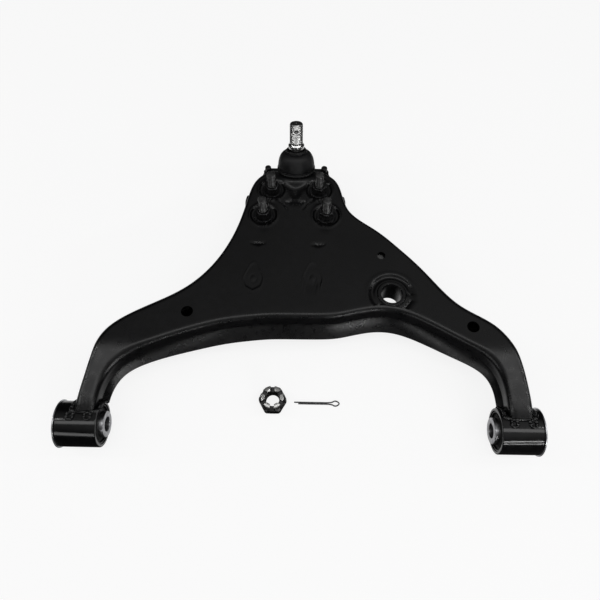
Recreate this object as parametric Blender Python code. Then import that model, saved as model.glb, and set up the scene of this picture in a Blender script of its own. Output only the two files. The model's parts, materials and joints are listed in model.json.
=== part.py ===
"""Front lower control arm of pressed steel, with its ball joint, its two rubber bushes, and the
castle nut and split pin that lie beside it.

The arm is drawn in its own frame, in millimetres: X runs along the axis of the two bushes, Y runs
from that axis towards the ball joint, and Z is square to the flat top plate. The whole arm then
hangs on one empty that tilts it until both bush tubes and the ball joint's cover rest on z = 0,
and moves it so that the middle of its box stands over the origin. Blender's unit is the metre.
"""

import math

import bmesh
import bpy
import numpy as np
from mathutils import Matrix, Vector

MM = 0.001

# ---------------------------------------------------------------- driving dimensions, millimetres
GAP = 0.3                    # clearance between two pieces that touch

# bush tubes and bushes
BUSH_SPACING = 496.0         # between the middles of the two bush tubes
TUBE_LENGTH = 46.0
TUBE_RADIUS = 26.0
TUBE_WALL = 3.2
OUTER_SLEEVE_WALL = 1.6
OUTER_FLANGE_STAND_OUT = 1.4 # thin rim at the outboard end of the bush, past the tube
OUTER_FLANGE_THICKNESS = 1.6
INNER_SLEEVE_RADIUS = 15.0
INNER_SLEEVE_BORE = 8.25     # for a 16 mm bolt
INNER_SLEEVE_STAND_OUT = 5.0 # past each end of the tube
RUBBER_RECESS = 2.5          # rubber stops short of the tube's ends
TWIST_STEPS = 36             # sides of the large turned pieces

# box section of the arm
SHEET = 3.2                  # thickness of both pressings
PLATE_HEIGHT = 48.0          # top of the plate over the bush axis
TAB_STAND_OUT = 3.8          # top of the plate over the bush tube that it ends on
LEG_DROP_START = 88.0        # y where the legs start to fall towards the tubes
LEG_DROP_END = 14.0
BOX_FLOOR = 6.0              # underside of the box over the bush axis
LEG_FLOOR = -6.0             # underside of the legs beside the tubes
BOX_ROLL = 8.0               # outside radius where the plate turns down
TIP_ROLL = 5.0
BOX_LIP = 18.0               # depth of the upper pressing's wall
TIP_LIP = 6.5
TAPER_LENGTH = 82.0          # the box closes up over this length
TAPER_TO_FLANGE = 20.0       # and ends this far before the ball joint's flange
ARCH_FLARE = 11.0            # the lower wall stands out this far past the upper lip, at mid arch
LEG_FLARE = 4.0

# stations along the arm, from the left tube round the tip to the right tube:
# inner edge x, y (foot of the arch wall) and outer edge x, y, drawn for the two sizes below
DRAWN_SPACING = 496.0
DRAWN_REACH = 352.0
STATIONS = (
    (-224.0, 6.0, -253.0, 6.0),
    (-221.5, 30.0, -249.0, 34.0),
    (-206.0, 57.0, -241.0, 70.0),
    (-170.0, 76.0, -226.0, 104.0),
    (-132.0, 88.0, -180.0, 136.0),
    (-98.0, 97.0, -136.0, 164.5),
    (-72.0, 101.8, -103.0, 206.0),
    (-53.0, 104.3, -84.0, 253.0),
    (-40.0, 105.6, -76.5, 299.0),
    (-33.0, 106.0, -67.0, 329.0),
    (-26.0, 106.2, -49.0, 343.5),
    (-12.0, 106.4, -12.0, 346.0),
    (4.0, 106.5, 24.0, 345.0),
    (14.0, 106.6, 44.0, 331.0),
    (24.0, 106.8, 56.0, 306.0),
    (38.0, 107.6, 64.0, 278.0),
    (56.0, 110.8, 92.0, 251.0),
    (84.0, 117.0, 121.0, 223.0),
    (112.0, 116.8, 152.0, 188.0),
    (146.0, 104.5, 190.0, 141.5),
    (184.0, 85.0, 229.0, 114.5),
    (216.0, 65.0, 252.0, 78.0),
    (228.5, 40.0, 260.5, 40.0),
    (230.5, 6.0, 262.5, 6.0),
)
STATION_STEPS = 2            # grid columns between two stations
PLATE_SHARES = (0.09, 0.2, 0.31, 0.42, 0.53, 0.7, 0.87)  # grid rows across the plate

# holes in the plate: x, y, radius, drawn for the same two sizes
LEG_HOLES = ((-134.4, 123.3, 7.1), (201.7, 108.8, 7.2))
SMALL_HOLE = (99.7, 206.9, 5.3)

# damper link seat
LINK_DRAWN = (109.4, 152.0)  # place on the plate, drawn for the same two sizes
LINK_BORE = 12.9
LINK_SLEEVE_WALL = 4.6
LINK_FLANGE_WIDTH = 3.0
LINK_FLANGE = 2.0
LINK_STAND_OUT = 1.0         # flange over the plate

# ball joint
JOINT_X = -10.0
JOINT_Y = 352.0              # where the boot's seat crosses the ball joint's axis
SEAT_UNDER_PLATE = 4.0       # the boot's seat on that axis, under the plate's top
JOINT_LEAN = 20.0            # degrees, away from the bushes
SEAT_TO_BALL = 14.0          # boot seat to ball centre
BALL_RADIUS = 13.5
SEAT_ROOM = 4.8              # between the ball and the housing's bore
HOUSING_WALL = 6.7
UNDER_BALL = 8.5             # from the bottom of the ball to the cover's outside
CUP_ROOM = 1.6               # between the cup and the notch in both pressings
MOUTH_ROOM = 3.5             # the mouth at the boot's seat is this much wider than the ball
MOUTH_HEIGHT = 6.8           # narrowest place, over the ball's middle
COVER_THICKNESS = 3.0
FLANGE_THICKNESS = 9.0
FLANGE_REACH = 26.3          # radius of the flange's two wings
FLANGE_BACK = 56.0           # middle of the wings, back from the joint
REAR_WALL = 11.0             # round a rear bolt
LUG_HALF = 38.8              # half distance between the two locating lugs
LUG_BACK = 1.0               # back from the joint
LUG_RADIUS = 4.2
LUG_WALL = 2.3               # the flange's corner round a lug
LUG_STAND_OUT = 0.5          # over the plate
NECK_RADIUS = 7.0
THREAD_RADIUS = 8.8
COLLAR_STEP = 1.1            # the collar past the thread
STUD_LENGTH = 80.0           # ball centre to the stud's end
THREAD_LENGTH = 30.0         # the collar's top, back from the stud's end
COTTER_HOLE_BACK = 9.0       # from the stud's end
COTTER_HOLE_RADIUS = 2.3
BOOT_BASE_STEP = 1.2         # the base past the housing's cup
BOOT_BULGE_STEP = 1.6        # the dome inside the base
BOOT_LIP_WIDTH = 9.0         # round the stud's neck
BOOT_HEIGHT = 27.0
BOOT_WALL = 2.4

# bolts of the ball joint
FRONT_ROW_BACK = 41.0        # back from the joint
FRONT_ROW_HALF = 31.6        # half distance between its two bolts
REAR_ROW_BACK = 83.0
REAR_ROW_HALF = 41.0
BOLT_RADIUS = 6.0
BOLT_STAND_OUT = 20.4        # thread past the nut
BOLT_HEAD = 7.5
HEX_WALL = 3.0               # from the thread to a flat
NUT_HEIGHT = 10.0
WASHER_RIM = 4.0             # past a flat of the nut
WASHER_THICKNESS = 2.0
DISH_ROOM = 5.0              # from the washer to the dish's rim
DISH_DEPTH = 2.0

# loose castle nut and split pin
CASTLE_WALL = 6.4            # from the bore to a flat
CASTLE_HEIGHT = 22.0
CASTLE_SLOT_DEPTH = 8.5
CASTLE_SLOT_WIDTH = 5.0
THREAD_DEPTH = 0.7           # its bore is this much under the stud's thread
CASTLE_PLACE = (-32.0, 36.5)
PIN_WIRE = 0.85
PIN_LENGTH = 56.0
PIN_EYE = (10.4, 7.0)
PIN_PLACE = (-6.5, 35.5)

# ---------------------------------------------------------------- sizes that follow from these
BUSH_X = BUSH_SPACING / 2
OUTER_FLANGE_RADIUS = TUBE_RADIUS + OUTER_FLANGE_STAND_OUT
TAB_HEIGHT = TUBE_RADIUS + TAB_STAND_OUT
JOINT_Z = PLATE_HEIGHT - SEAT_UNDER_PLATE
HOUSING_BORE = BALL_RADIUS + SEAT_ROOM
HOUSING_RADIUS = HOUSING_BORE + HOUSING_WALL
HOUSING_MOUTH = BALL_RADIUS + MOUTH_ROOM
HOUSING_DEPTH = SEAT_TO_BALL + BALL_RADIUS + UNDER_BALL
BOOT_BASE = HOUSING_RADIUS + BOOT_BASE_STEP
BOOT_BULGE = BOOT_BASE - BOOT_BULGE_STEP
BOOT_LIP = NECK_RADIUS + BOOT_LIP_WIDTH
COLLAR_RADIUS = THREAD_RADIUS + COLLAR_STEP
COLLAR_HEIGHT = STUD_LENGTH - THREAD_LENGTH
COTTER_HOLE_HEIGHT = STUD_LENGTH - COTTER_HOLE_BACK
BOLT_ROWS = ((JOINT_Y - FRONT_ROW_BACK, FRONT_ROW_HALF), (JOINT_Y - REAR_ROW_BACK, REAR_ROW_HALF))
FLANGE_Y = JOINT_Y - FLANGE_BACK
LUG_Y = JOINT_Y - LUG_BACK
LUG_SEAT = LUG_RADIUS + LUG_WALL
REAR_REACH = BOLT_RADIUS + REAR_WALL
TAPER_END = JOINT_Y - REAR_ROW_BACK - REAR_REACH - TAPER_TO_FLANGE
TAPER_START = TAPER_END - TAPER_LENGTH
HEX_ACROSS_FLATS = 2 * (BOLT_RADIUS + HEX_WALL)
WASHER_RADIUS = HEX_ACROSS_FLATS / 2 + WASHER_RIM
DISH_RADIUS = WASHER_RADIUS + DISH_ROOM
LINK_SLEEVE_RADIUS = LINK_BORE + LINK_SLEEVE_WALL
LINK_FLANGE_RADIUS = LINK_SLEEVE_RADIUS + LINK_FLANGE_WIDTH
CASTLE_BORE = THREAD_RADIUS - THREAD_DEPTH
CASTLE_ACROSS_FLATS = 2 * (CASTLE_BORE + CASTLE_WALL)


def smooth_step(t):
    """Runs from 0 to 1 with level ends."""
    t = np.clip(t, 0.0, 1.0)
    return t * t * (3.0 - 2.0 * t)


def laid(x, y):
    """Moves a drawn point of the plate with the sizes it was drawn for.
    The legs go with the bushes and the tip goes with the ball joint, with a smooth run between."""
    out = smooth_step((abs(x) - 90.0) / 110.0) * (1.0 if x > 0 else -1.0)
    up = smooth_step((y - 118.0) / 114.0)
    return (x + out * (BUSH_SPACING - DRAWN_SPACING) / 2, y + up * (JOINT_Y - DRAWN_REACH))


LINK_X, LINK_Y = laid(*LINK_DRAWN)

# ---------------------------------------------------------------- a clean scene
for old in list(bpy.data.objects):
    bpy.data.objects.remove(old, do_unlink=True)
scene = bpy.context.scene
scene.unit_settings.scale_length = 1.0


def material(name, colour, roughness, metallic):
    """A plain principled material: colour, roughness and metallic value."""
    mat = bpy.data.materials.new(name)
    mat.use_nodes = True
    shader = mat.node_tree.nodes["Principled BSDF"]
    shader.inputs["Base Color"].default_value = (*colour, 1.0)
    shader.inputs["Roughness"].default_value = roughness
    shader.inputs["Metallic"].default_value = metallic
    mat.diffuse_color = (*colour, 1.0)
    return mat


PAINT = (0.012, 0.012, 0.013)
M_UPPER = material("coated_pressing_upper", PAINT, 0.34, 0.0)
M_LOWER = material("coated_pressing_lower", PAINT, 0.36, 0.0)
M_TUBE = material("coated_tube", PAINT, 0.3, 0.0)
M_FORGED = material("coated_forging", (0.014, 0.014, 0.015), 0.48, 0.0)
M_LINK = material("coated_link_sleeve", PAINT, 0.4, 0.0)
M_SLEEVE = material("zinc_sleeve", (0.62, 0.62, 0.63), 0.3, 1.0)
M_FLANGE = material("zinc_flange_sleeve", (0.55, 0.55, 0.56), 0.32, 1.0)
M_RUBBER = material("bush_rubber", (0.02, 0.02, 0.02), 0.75, 0.0)
M_BOOT = material("boot_rubber", (0.018, 0.018, 0.018), 0.6, 0.0)
M_RING = material("spring_ring", (0.03, 0.03, 0.03), 0.4, 1.0)
M_SEAT = material("bearing_polymer", (0.7, 0.68, 0.62), 0.45, 0.0)
M_COVER = material("cover_plate", (0.02, 0.02, 0.02), 0.4, 0.0)
M_STUD = material("bright_stud", (0.66, 0.66, 0.67), 0.24, 1.0)
M_BOLT = material("bolt_steel", (0.1, 0.1, 0.105), 0.38, 0.8)
M_NUT = material("nut_steel", (0.04, 0.04, 0.042), 0.42, 0.7)
M_WASHER = material("washer_steel", (0.05, 0.05, 0.052), 0.4, 0.7)
M_CASTLE = material("castle_nut_steel", (0.08, 0.08, 0.08), 0.4, 0.6)
M_PIN = material("split_pin_steel", (0.3, 0.3, 0.31), 0.35, 1.0)


# ---------------------------------------------------------------- frames
def empty(name, parent=None, place=(0, 0, 0), turn=(0, 0, 0)):
    """An axis that pieces hang on; place is in millimetres and turn in degrees."""
    axis = bpy.data.objects.new(name, None)
    scene.collection.objects.link(axis)
    axis.parent = parent
    axis.location = Vector(place) * MM
    axis.rotation_euler = [math.radians(v) for v in turn]
    return axis


arm = empty("arm_frame")
joint = empty("ball_centre", arm)
lean = math.radians(JOINT_LEAN)
joint_axis = Vector((0.0, math.sin(lean), math.cos(lean)))
ball_centre = Vector((JOINT_X, JOINT_Y, JOINT_Z)) - joint_axis * SEAT_TO_BALL
joint.location = ball_centre * MM
joint.rotation_euler = (-lean, 0.0, 0.0)
table = empty("table_frame")


# ---------------------------------------------------------------- making solids
def place(name, mesh, mat, parent=arm, at=(0, 0, 0), turn=(0, 0, 0), smooth=True):
    """Links a mesh as one object under its parent."""
    obj = bpy.data.objects.new(name, mesh)
    scene.collection.objects.link(obj)
    if mat is not None:
        mesh.materials.clear()
        mesh.materials.append(mat)
    if smooth:
        mesh.shade_smooth()
        mesh.set_sharp_from_angle(angle=math.radians(32))
    obj.parent = parent
    obj.location = Vector(at) * MM
    obj.rotation_euler = [math.radians(v) for v in turn]
    return obj


def finish(bm, name):
    """Closes a bmesh: merges what meets, points every face out, and scales to metres."""
    bmesh.ops.remove_doubles(bm, verts=bm.verts, dist=1e-5)
    bmesh.ops.recalc_face_normals(bm, faces=bm.faces)
    bmesh.ops.scale(bm, vec=(MM, MM, MM), verts=bm.verts)
    mesh = bpy.data.meshes.new(name)
    bm.to_mesh(mesh)
    bm.free()
    return mesh


def turned(name, profile, steps=TWIST_STEPS, axis="Z"):
    """Spins a profile of (radius, height) points once round the axis.
    A profile whose ends lie on the axis makes a solid, and a closed loop off it makes a ring."""
    bm = bmesh.new()
    points = [bm.verts.new((r, 0.0, h)) for r, h in profile]
    on_axis = profile[0][0] == 0.0 and profile[-1][0] == 0.0
    pairs = list(zip(points, points[1:]))
    if not on_axis:
        pairs.append((points[-1], points[0]))
    edges = [bm.edges.new(pair) for pair in pairs]
    bmesh.ops.spin(
        bm,
        geom=points + edges,
        cent=(0, 0, 0),
        axis=(0, 0, 1),
        dvec=(0, 0, 0),
        angle=2 * math.pi,
        steps=steps,
        use_merge=True,
        use_duplicate=False,
    )
    bmesh.ops.remove_doubles(bm, verts=bm.verts, dist=1e-4)
    if axis == "X":
        bmesh.ops.rotate(bm, cent=(0, 0, 0), matrix=Matrix.Rotation(math.pi / 2, 3, "Y"),
                         verts=bm.verts)
    return finish(bm, name)


def ring_profile(inner, outer, low, high, chamfer=0.0):
    """A rectangular section between two radii, with its two outer corners cut off."""
    c = chamfer
    if c == 0.0:
        return [(outer, high), (outer, low), (inner, low), (inner, high)]
    return [(outer - c, high), (outer, high - c), (outer, low + c), (outer - c, low),
            (inner, low), (inner, high)]


def cylinder(name, radius, low, high, steps=24):
    """A plain cylinder along Z."""
    return turned(name, [(0.0, high), (radius, high), (radius, low), (0.0, low)], steps)


def prism(name, outline, low, high):
    """Extrudes an outline of (x, y) points from one height to another."""
    bm = bmesh.new()
    face = bm.faces.new([bm.verts.new((x, y, low)) for x, y in outline])
    moved = bmesh.ops.extrude_face_region(bm, geom=[face])["geom"]
    top = [v for v in moved if isinstance(v, bmesh.types.BMVert)]
    bmesh.ops.translate(bm, vec=(0, 0, high - low), verts=top)
    return finish(bm, name)


def hexagon(across_flats, flat_first=True):
    """The six corners of a hexagon; with flat_first a flat faces along Y."""
    radius = across_flats / math.sqrt(3)
    start = 0 if flat_first else 30
    return [(radius * math.cos(math.radians(start + 60 * k)),
             radius * math.sin(math.radians(start + 60 * k))) for k in range(6)]


def shifted(x, y, z=0.0):
    """The matrix that moves a shape by millimetres."""
    return Matrix.Translation(Vector((x, y, z)) * MM)


def copies(name, spots):
    """One mesh holding several separate shapes: spots gives (mesh, matrix) for each."""
    bm = bmesh.new()
    for mesh, matrix in spots:
        moved = mesh.copy()
        moved.transform(matrix)
        bm.from_mesh(moved)
        bpy.data.meshes.remove(moved)
    mesh = bpy.data.meshes.new(name)
    bm.to_mesh(mesh)
    bm.free()
    return mesh


def helper(name, mesh, parent=arm, at=(0, 0, 0), turn=(0, 0, 0)):
    """A cutter or a filler: drawn as wire and left out of the render."""
    obj = place(name, mesh, None, parent, at, turn, smooth=False)
    obj.hide_render = True
    obj.display_type = "WIRE"
    return obj


def join_or_cut(obj, other, operation="DIFFERENCE"):
    """Adds one exact Boolean to an object."""
    step = obj.modifiers.new(f"{operation.lower()}_{other.name}", "BOOLEAN")
    step.operation = operation
    step.object = other
    step.solver = "EXACT"
    return step


# ---------------------------------------------------------------- the two pressings
def spline(knots, values, at):
    """Natural cubic spline through values at knots, with continuous curvature."""
    count = len(knots)
    step = np.diff(knots)
    matrix = np.eye(count)
    right = np.zeros_like(values)
    for k in range(1, count - 1):
        matrix[k, k - 1:k + 2] = step[k - 1], 2 * (step[k - 1] + step[k]), step[k]
        slope_on = (values[k + 1] - values[k]) / step[k]
        slope_off = (values[k] - values[k - 1]) / step[k - 1]
        right[k] = 6 * (slope_on - slope_off)
    bend = np.linalg.solve(matrix, right)
    k = np.clip(np.searchsorted(knots, at, side="right") - 1, 0, count - 2)
    h = step[k][:, None]
    a = (knots[k + 1] - at)[:, None] / h
    b = (at - knots[k])[:, None] / h
    cubic = ((a**3 - a) * bend[k] + (b**3 - b) * bend[k + 1]) * h * h / 6
    return a * values[k] + b * values[k + 1] + cubic


def station_curves(steps):
    """Inner and outer edges at every grid column, with their unit normals into the sheet."""
    table_ = np.array([(*laid(*row[:2]), *laid(*row[2:])) for row in STATIONS])
    inner, outer = table_[:, :2], table_[:, 2:]
    chord = 0.5 * np.linalg.norm(np.diff(inner, axis=0), axis=1)
    chord += 0.5 * np.linalg.norm(np.diff(outer, axis=0), axis=1)
    knots = np.concatenate([[0.0], np.cumsum(chord)])
    at = np.interp(np.linspace(0, len(knots) - 1, steps * (len(knots) - 1) + 1),
                   np.arange(len(knots)), knots)
    found = []
    for values, side in ((inner, -1.0), (outer, 1.0)):
        line = spline(knots, values, at)
        run = spline(knots, values, at + 0.01) - spline(knots, values, at - 0.01)
        run /= np.linalg.norm(run, axis=1)[:, None]
        found.append((line, np.stack([side * run[:, 1], -side * run[:, 0]], 1)))
    return at / knots[-1], found[0], found[1]


def plate_top(y):
    """Height of the upper plate's top face."""
    return TAB_HEIGHT + (PLATE_HEIGHT - TAB_HEIGHT) * smooth_step(
        (y - LEG_DROP_END) / (LEG_DROP_START - LEG_DROP_END))


def closed_up(y):
    """0 where the box is open and 1 where both sheets lie together."""
    return smooth_step((y - TAPER_START) / (TAPER_END - TAPER_START))


def blend(a, b, t):
    return a + (b - a) * t


TIP_FLOOR = PLATE_HEIGHT - 2 * SHEET - GAP - 1.0


def floor_under(y):
    """Height of the lower pressing's underside."""
    low = blend(LEG_FLOOR, BOX_FLOOR, smooth_step((y - LEG_DROP_END) / 56.0))
    return blend(low, TIP_FLOOR, closed_up(y))


def rings(edge, normal, rows):
    """Grid rows beside one edge: each row is (inset, height) for every column."""
    return [np.column_stack([edge + normal * inset[:, None], height]) for inset, height in rows]


def across(first, last, height):
    """Grid rows across the plate, straight from one edge's last row to the other's first."""
    found = []
    for reach in PLATE_SHARES:
        flat = blend(first[:, :2], last[:, :2], reach)
        found.append(np.column_stack([flat, height(flat[:, 1])]))
    return found


ROLL_ANGLES = np.radians([0.0, 30.0, 60.0, 90.0])


def upper_rows(thick):
    """Grid of the upper pressing's skin; thick is 0 for the outside and the sheet for the inside."""
    share, (inner, n_in), (outer, n_out) = station_curves(STATION_STEPS)
    flare = blend(LEG_FLARE, ARCH_FLARE, smooth_step(1.6 * np.sin(np.pi * share) - 0.3))
    sides = []
    for edge, normal, inset in ((inner, n_in, flare), (outer, n_out, 0 * flare)):
        y = edge[:, 1]
        tip = closed_up(y)
        roll = blend(BOX_ROLL, TIP_ROLL, tip)
        lip = blend(BOX_LIP, TIP_LIP, tip)
        top = plate_top(y + normal[:, 1] * inset)
        rows = [(inset + thick, top - lip)]
        for angle in ROLL_ANGLES:
            reach = roll - (roll - thick) * math.cos(angle)
            rise = roll - (roll - thick) * math.sin(angle)
            rows.append((inset + reach, top - rise))
        sides.append(rings(edge, normal, rows))
    first, last = sides[0], sides[1][::-1]
    middle = across(first[-1], last[0], lambda y: plate_top(y) - thick)
    first[-1][:, 2] = plate_top(first[-1][:, 1]) - thick
    last[0][:, 2] = plate_top(last[0][:, 1]) - thick
    return np.array(first + middle + last)


def lower_rows(thick):
    """Grid of the lower pressing's skin; thick is 0 for the underside and the sheet for the inside."""
    share, (inner, n_in), (outer, n_out) = station_curves(STATION_STEPS)
    flare = blend(LEG_FLARE, ARCH_FLARE, smooth_step(1.6 * np.sin(np.pi * share) - 0.3))
    sides = []
    for edge, normal, inset in ((inner, n_in, flare), (outer, n_out, 0 * flare)):
        y = edge[:, 1]
        tip = closed_up(y)
        wall = inset + blend(SHEET + GAP, TIP_ROLL + 0.6, tip)
        foot = wall - inset
        foot = np.where(inset > 0.0, 0.0 * foot, foot)
        floor = floor_under(y)
        plate = plate_top(y + normal[:, 1] * inset)
        top = plate - blend(BOX_ROLL + 0.5, SHEET + 2 * GAP, tip)
        roll = blend(6.0, 0.6, tip)
        bend = np.maximum(roll - thick, 0.2) if thick else roll
        under_lip = plate - blend(BOX_LIP, TIP_LIP, tip) - 0.5
        under_lip = np.maximum(under_lip, floor + thick + bend + 0.1)
        rows = [(wall + thick, top), (wall + thick, under_lip),
                (foot + thick, floor + thick + bend)]
        for angle in ROLL_ANGLES[1:]:
            rows.append((foot + thick + bend * (1 - math.cos(angle)),
                         floor + thick + bend * (1 - math.sin(angle))))
        sides.append(rings(edge, normal, rows))
    first, last = sides[0], sides[1][::-1]
    middle = across(first[-1], last[0], lambda y: floor_under(y) + thick)
    first[-1][:, 2] = floor_under(first[-1][:, 1]) + thick
    last[0][:, 2] = floor_under(last[0][:, 1]) + thick
    return np.array(first + middle + last)


def sheet_mesh(name, outside, inside):
    """Closes two matching grids into one thin solid: both skins and the four edges between."""
    rows, columns = outside.shape[:2]
    points = np.concatenate([outside.reshape(-1, 3), inside.reshape(-1, 3)]) * MM
    index = np.arange(rows * columns).reshape(rows, columns)
    other = index + rows * columns

    def quads(grid):
        return np.stack([grid[:-1, :-1], grid[1:, :-1], grid[1:, 1:], grid[:-1, 1:]], -1)

    faces = [quads(index).reshape(-1, 4), quads(other)[..., ::-1].reshape(-1, 4)]
    loop = np.concatenate([index[0, :], index[1:, -1], index[-1, -2::-1], index[-2:0:-1, 0]])
    back = np.concatenate([other[0, :], other[1:, -1], other[-1, -2::-1], other[-2:0:-1, 0]])
    faces.append(np.stack([loop, np.roll(loop, -1), np.roll(back, -1), back], -1))
    mesh = bpy.data.meshes.new(name)
    mesh.from_pydata(points.tolist(), [], np.concatenate(faces).tolist())
    bm = bmesh.new()
    bm.from_mesh(mesh)
    bmesh.ops.recalc_face_normals(bm, faces=bm.faces)
    bmesh.ops.triangulate(bm, faces=bm.faces)
    bm.to_mesh(mesh)
    bm.free()
    return mesh


upper = place("upper_shell", sheet_mesh("upper_shell", upper_rows(0.0), upper_rows(SHEET)),
              M_UPPER)
lower = place("lower_shell", sheet_mesh("lower_shell", lower_rows(0.0), lower_rows(SHEET)),
              M_LOWER)

# ---------------------------------------------------------------- damper link sleeve
link_top = PLATE_HEIGHT + LINK_STAND_OUT
link_profile = [
    (LINK_FLANGE_RADIUS, link_top),
    (LINK_FLANGE_RADIUS, link_top - LINK_FLANGE),
    (LINK_SLEEVE_RADIUS, link_top - LINK_FLANGE),
    (LINK_SLEEVE_RADIUS, BOX_FLOOR - 1.0),
    (LINK_BORE, BOX_FLOOR - 1.0),
    (LINK_BORE, link_top),
]
place("link_sleeve", turned("link_sleeve", link_profile, 32), M_LINK, at=(LINK_X, LINK_Y, 0))
link_space = [
    (0.0, PLATE_HEIGHT + 10),
    (LINK_FLANGE_RADIUS + GAP, PLATE_HEIGHT + 10),
    (LINK_FLANGE_RADIUS + GAP, link_top - LINK_FLANGE - GAP),
    (LINK_SLEEVE_RADIUS + GAP, link_top - LINK_FLANGE - GAP),
    (LINK_SLEEVE_RADIUS + GAP, BOX_FLOOR - 10),
    (0.0, BOX_FLOOR - 10),
]
link_room = turned("link_room", link_space, 32)

# ---------------------------------------------------------------- dishes, holes and bolt holes
dish_floor = PLATE_HEIGHT - DISH_DEPTH
bolts = [(f"{row}_{side}", JOINT_X + sign * half, y)
         for row, (y, half) in zip(("front", "rear"), BOLT_ROWS)
         for side, sign in (("left", -1), ("right", 1))]
dish_back = cylinder("dish_back", DISH_RADIUS, TIP_FLOOR + SHEET + 2 * GAP, dish_floor + 1.0, 24)
join_or_cut(upper, helper("dish_backs", copies("dish_backs", [
    (dish_back, shifted(x, y)) for _, x, y in bolts])), "UNION")
dish_space = turned("dish_space", [
    (0.0, PLATE_HEIGHT + 6), (DISH_RADIUS - 2.0, PLATE_HEIGHT + 6), (DISH_RADIUS - 2.0, dish_floor),
    (BOLT_RADIUS + GAP, dish_floor), (BOLT_RADIUS + GAP, 20.0), (0.0, 20.0)], 24)
shank_space = cylinder("shank_space", BOLT_RADIUS + GAP, 0.0, 70.0, 20)
tube_space = turned("tube_space", [(0.0, 40.0), (TUBE_RADIUS + GAP, 40.0),
                                   (TUBE_RADIUS + GAP, -40.0), (0.0, -40.0)], TWIST_STEPS, "X")
cup_space = cylinder("cup_space", HOUSING_RADIUS + CUP_ROOM, -60, 45, TWIST_STEPS)
lug_space = cylinder("lug_space", LUG_RADIUS + 2 * GAP, 20, 80, 16)

# both pressings make room for the tubes, the link sleeve, the housing's cup and its two lugs
joint_matrix = Matrix.Translation(joint.location) @ Matrix.Rotation(-lean, 4, "X")
shared_room = [(tube_space, shifted(sign * (BUSH_X - 8.0), 0)) for sign in (-1, 1)]
shared_room += [(lug_space, shifted(JOINT_X + sign * LUG_HALF, LUG_Y)) for sign in (-1, 1)]
shared_room += [(link_room, shifted(LINK_X, LINK_Y)), (cup_space, joint_matrix)]
plain_holes = [(cylinder("hole", radius, PLATE_HEIGHT - 8, PLATE_HEIGHT + 4, 20),
                shifted(*laid(x, y))) for x, y, radius in (*LEG_HOLES, SMALL_HOLE)]
join_or_cut(upper, helper("upper_room", copies("upper_room", [
    (dish_space, shifted(x, y)) for _, x, y in bolts] + plain_holes + shared_room)))
join_or_cut(lower, helper("lower_room", copies("lower_room", [
    (shank_space, shifted(x, y)) for _, x, y in bolts] + shared_room)))

# ---------------------------------------------------------------- ball joint housing
flange_top = TIP_FLOOR - GAP
flange_low = flange_top - FLANGE_THICKNESS
front_y, front_half = BOLT_ROWS[0]
rear_y, rear_half = BOLT_ROWS[1]


def scallop(x, y, radius, first, last, steps=5):
    """Points of an arc round a bolt, between two angles in degrees."""
    return [(x + radius * math.cos(math.radians(a)), y + radius * math.sin(math.radians(a)))
            for a in np.linspace(first, last, steps)]


flange_right = (
    scallop(rear_half, rear_y, REAR_REACH, -90, 10)
    + scallop(rear_half, FLANGE_Y, FLANGE_REACH, -45, 50)
    + scallop(LUG_HALF, LUG_Y, LUG_SEAT, -20, 90, 4)
)
flange_outline = ([(JOINT_X + x, y) for x, y in flange_right]
                  + [(JOINT_X - x, y) for x, y in flange_right[::-1]]
                  + [(JOINT_X, rear_y - REAR_REACH + 12.0)])
housing = place("ball_joint_housing", prism("ball_joint_housing", flange_outline, flange_low,
                                            flange_top), M_FORGED)
cup = helper("cup", cylinder("cup", HOUSING_RADIUS, SEAT_TO_BALL - HOUSING_DEPTH, SEAT_TO_BALL,
                             TWIST_STEPS), joint)
join_or_cut(housing, cup, "UNION")
for side, sign in (("left", -1), ("right", 1)):
    lug = cylinder(f"lug_{side}", LUG_RADIUS, flange_top - 4.0, PLATE_HEIGHT + LUG_STAND_OUT, 12)
    join_or_cut(housing, helper(f"lug_{side}", lug,
                                at=(JOINT_X + sign * LUG_HALF, LUG_Y, 0)), "UNION")
web = prism("web", [(JOINT_X - 20, rear_y + 16), (JOINT_X + 20, rear_y + 16),
                    (JOINT_X + 19, JOINT_Y - 20), (JOINT_X - 19, JOINT_Y - 20)],
            flange_low - 7.0, flange_low + 2.0)
join_or_cut(housing, helper("web", web), "UNION")

cover_low = SEAT_TO_BALL - HOUSING_DEPTH
seat_low = cover_low + COVER_THICKNESS + 1.5
cavity = [
    (0.0, 2 * SEAT_TO_BALL - MOUTH_HEIGHT),
    (2 * HOUSING_MOUTH - BALL_RADIUS, 2 * SEAT_TO_BALL - MOUTH_HEIGHT),
    (BALL_RADIUS, MOUTH_HEIGHT),
    (HOUSING_BORE, MOUTH_HEIGHT),
    (HOUSING_BORE, seat_low - 0.9),
    (HOUSING_BORE + 2.4, seat_low - 0.9),
    (HOUSING_BORE + 2.4, cover_low - 10),
    (0.0, cover_low - 10),
]
join_or_cut(housing, helper("housing_room", copies("housing_room", [
    (turned("ball_cavity", cavity), joint_matrix)]
    + [(shank_space, shifted(x, y)) for _, x, y in bolts])))

# ---------------------------------------------------------------- inside the housing
opening = MOUTH_HEIGHT - 2 * GAP
seat_inner = BALL_RADIUS + GAP
seat_arc = [(seat_inner * math.sin(math.radians(a)), seat_inner * math.cos(math.radians(a)))
            for a in np.linspace(math.degrees(math.acos(opening / seat_inner)), 150, 9)]
seat_profile = [(HOUSING_BORE - GAP, opening), (HOUSING_BORE - GAP, seat_low)]
seat_profile += [(seat_arc[-1][0], seat_low)] + seat_arc[::-1]
place("bearing_seat", turned("bearing_seat", seat_profile), M_SEAT, joint)
place("cover_plate", turned("cover_plate", [
    (0.0, seat_low - 1.2), (HOUSING_BORE + 2.1, seat_low - 1.2),
    (HOUSING_BORE + 2.1, cover_low + 0.6), (HOUSING_BORE - 3, cover_low), (0.0, cover_low)]),
    M_COVER, joint)

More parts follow.
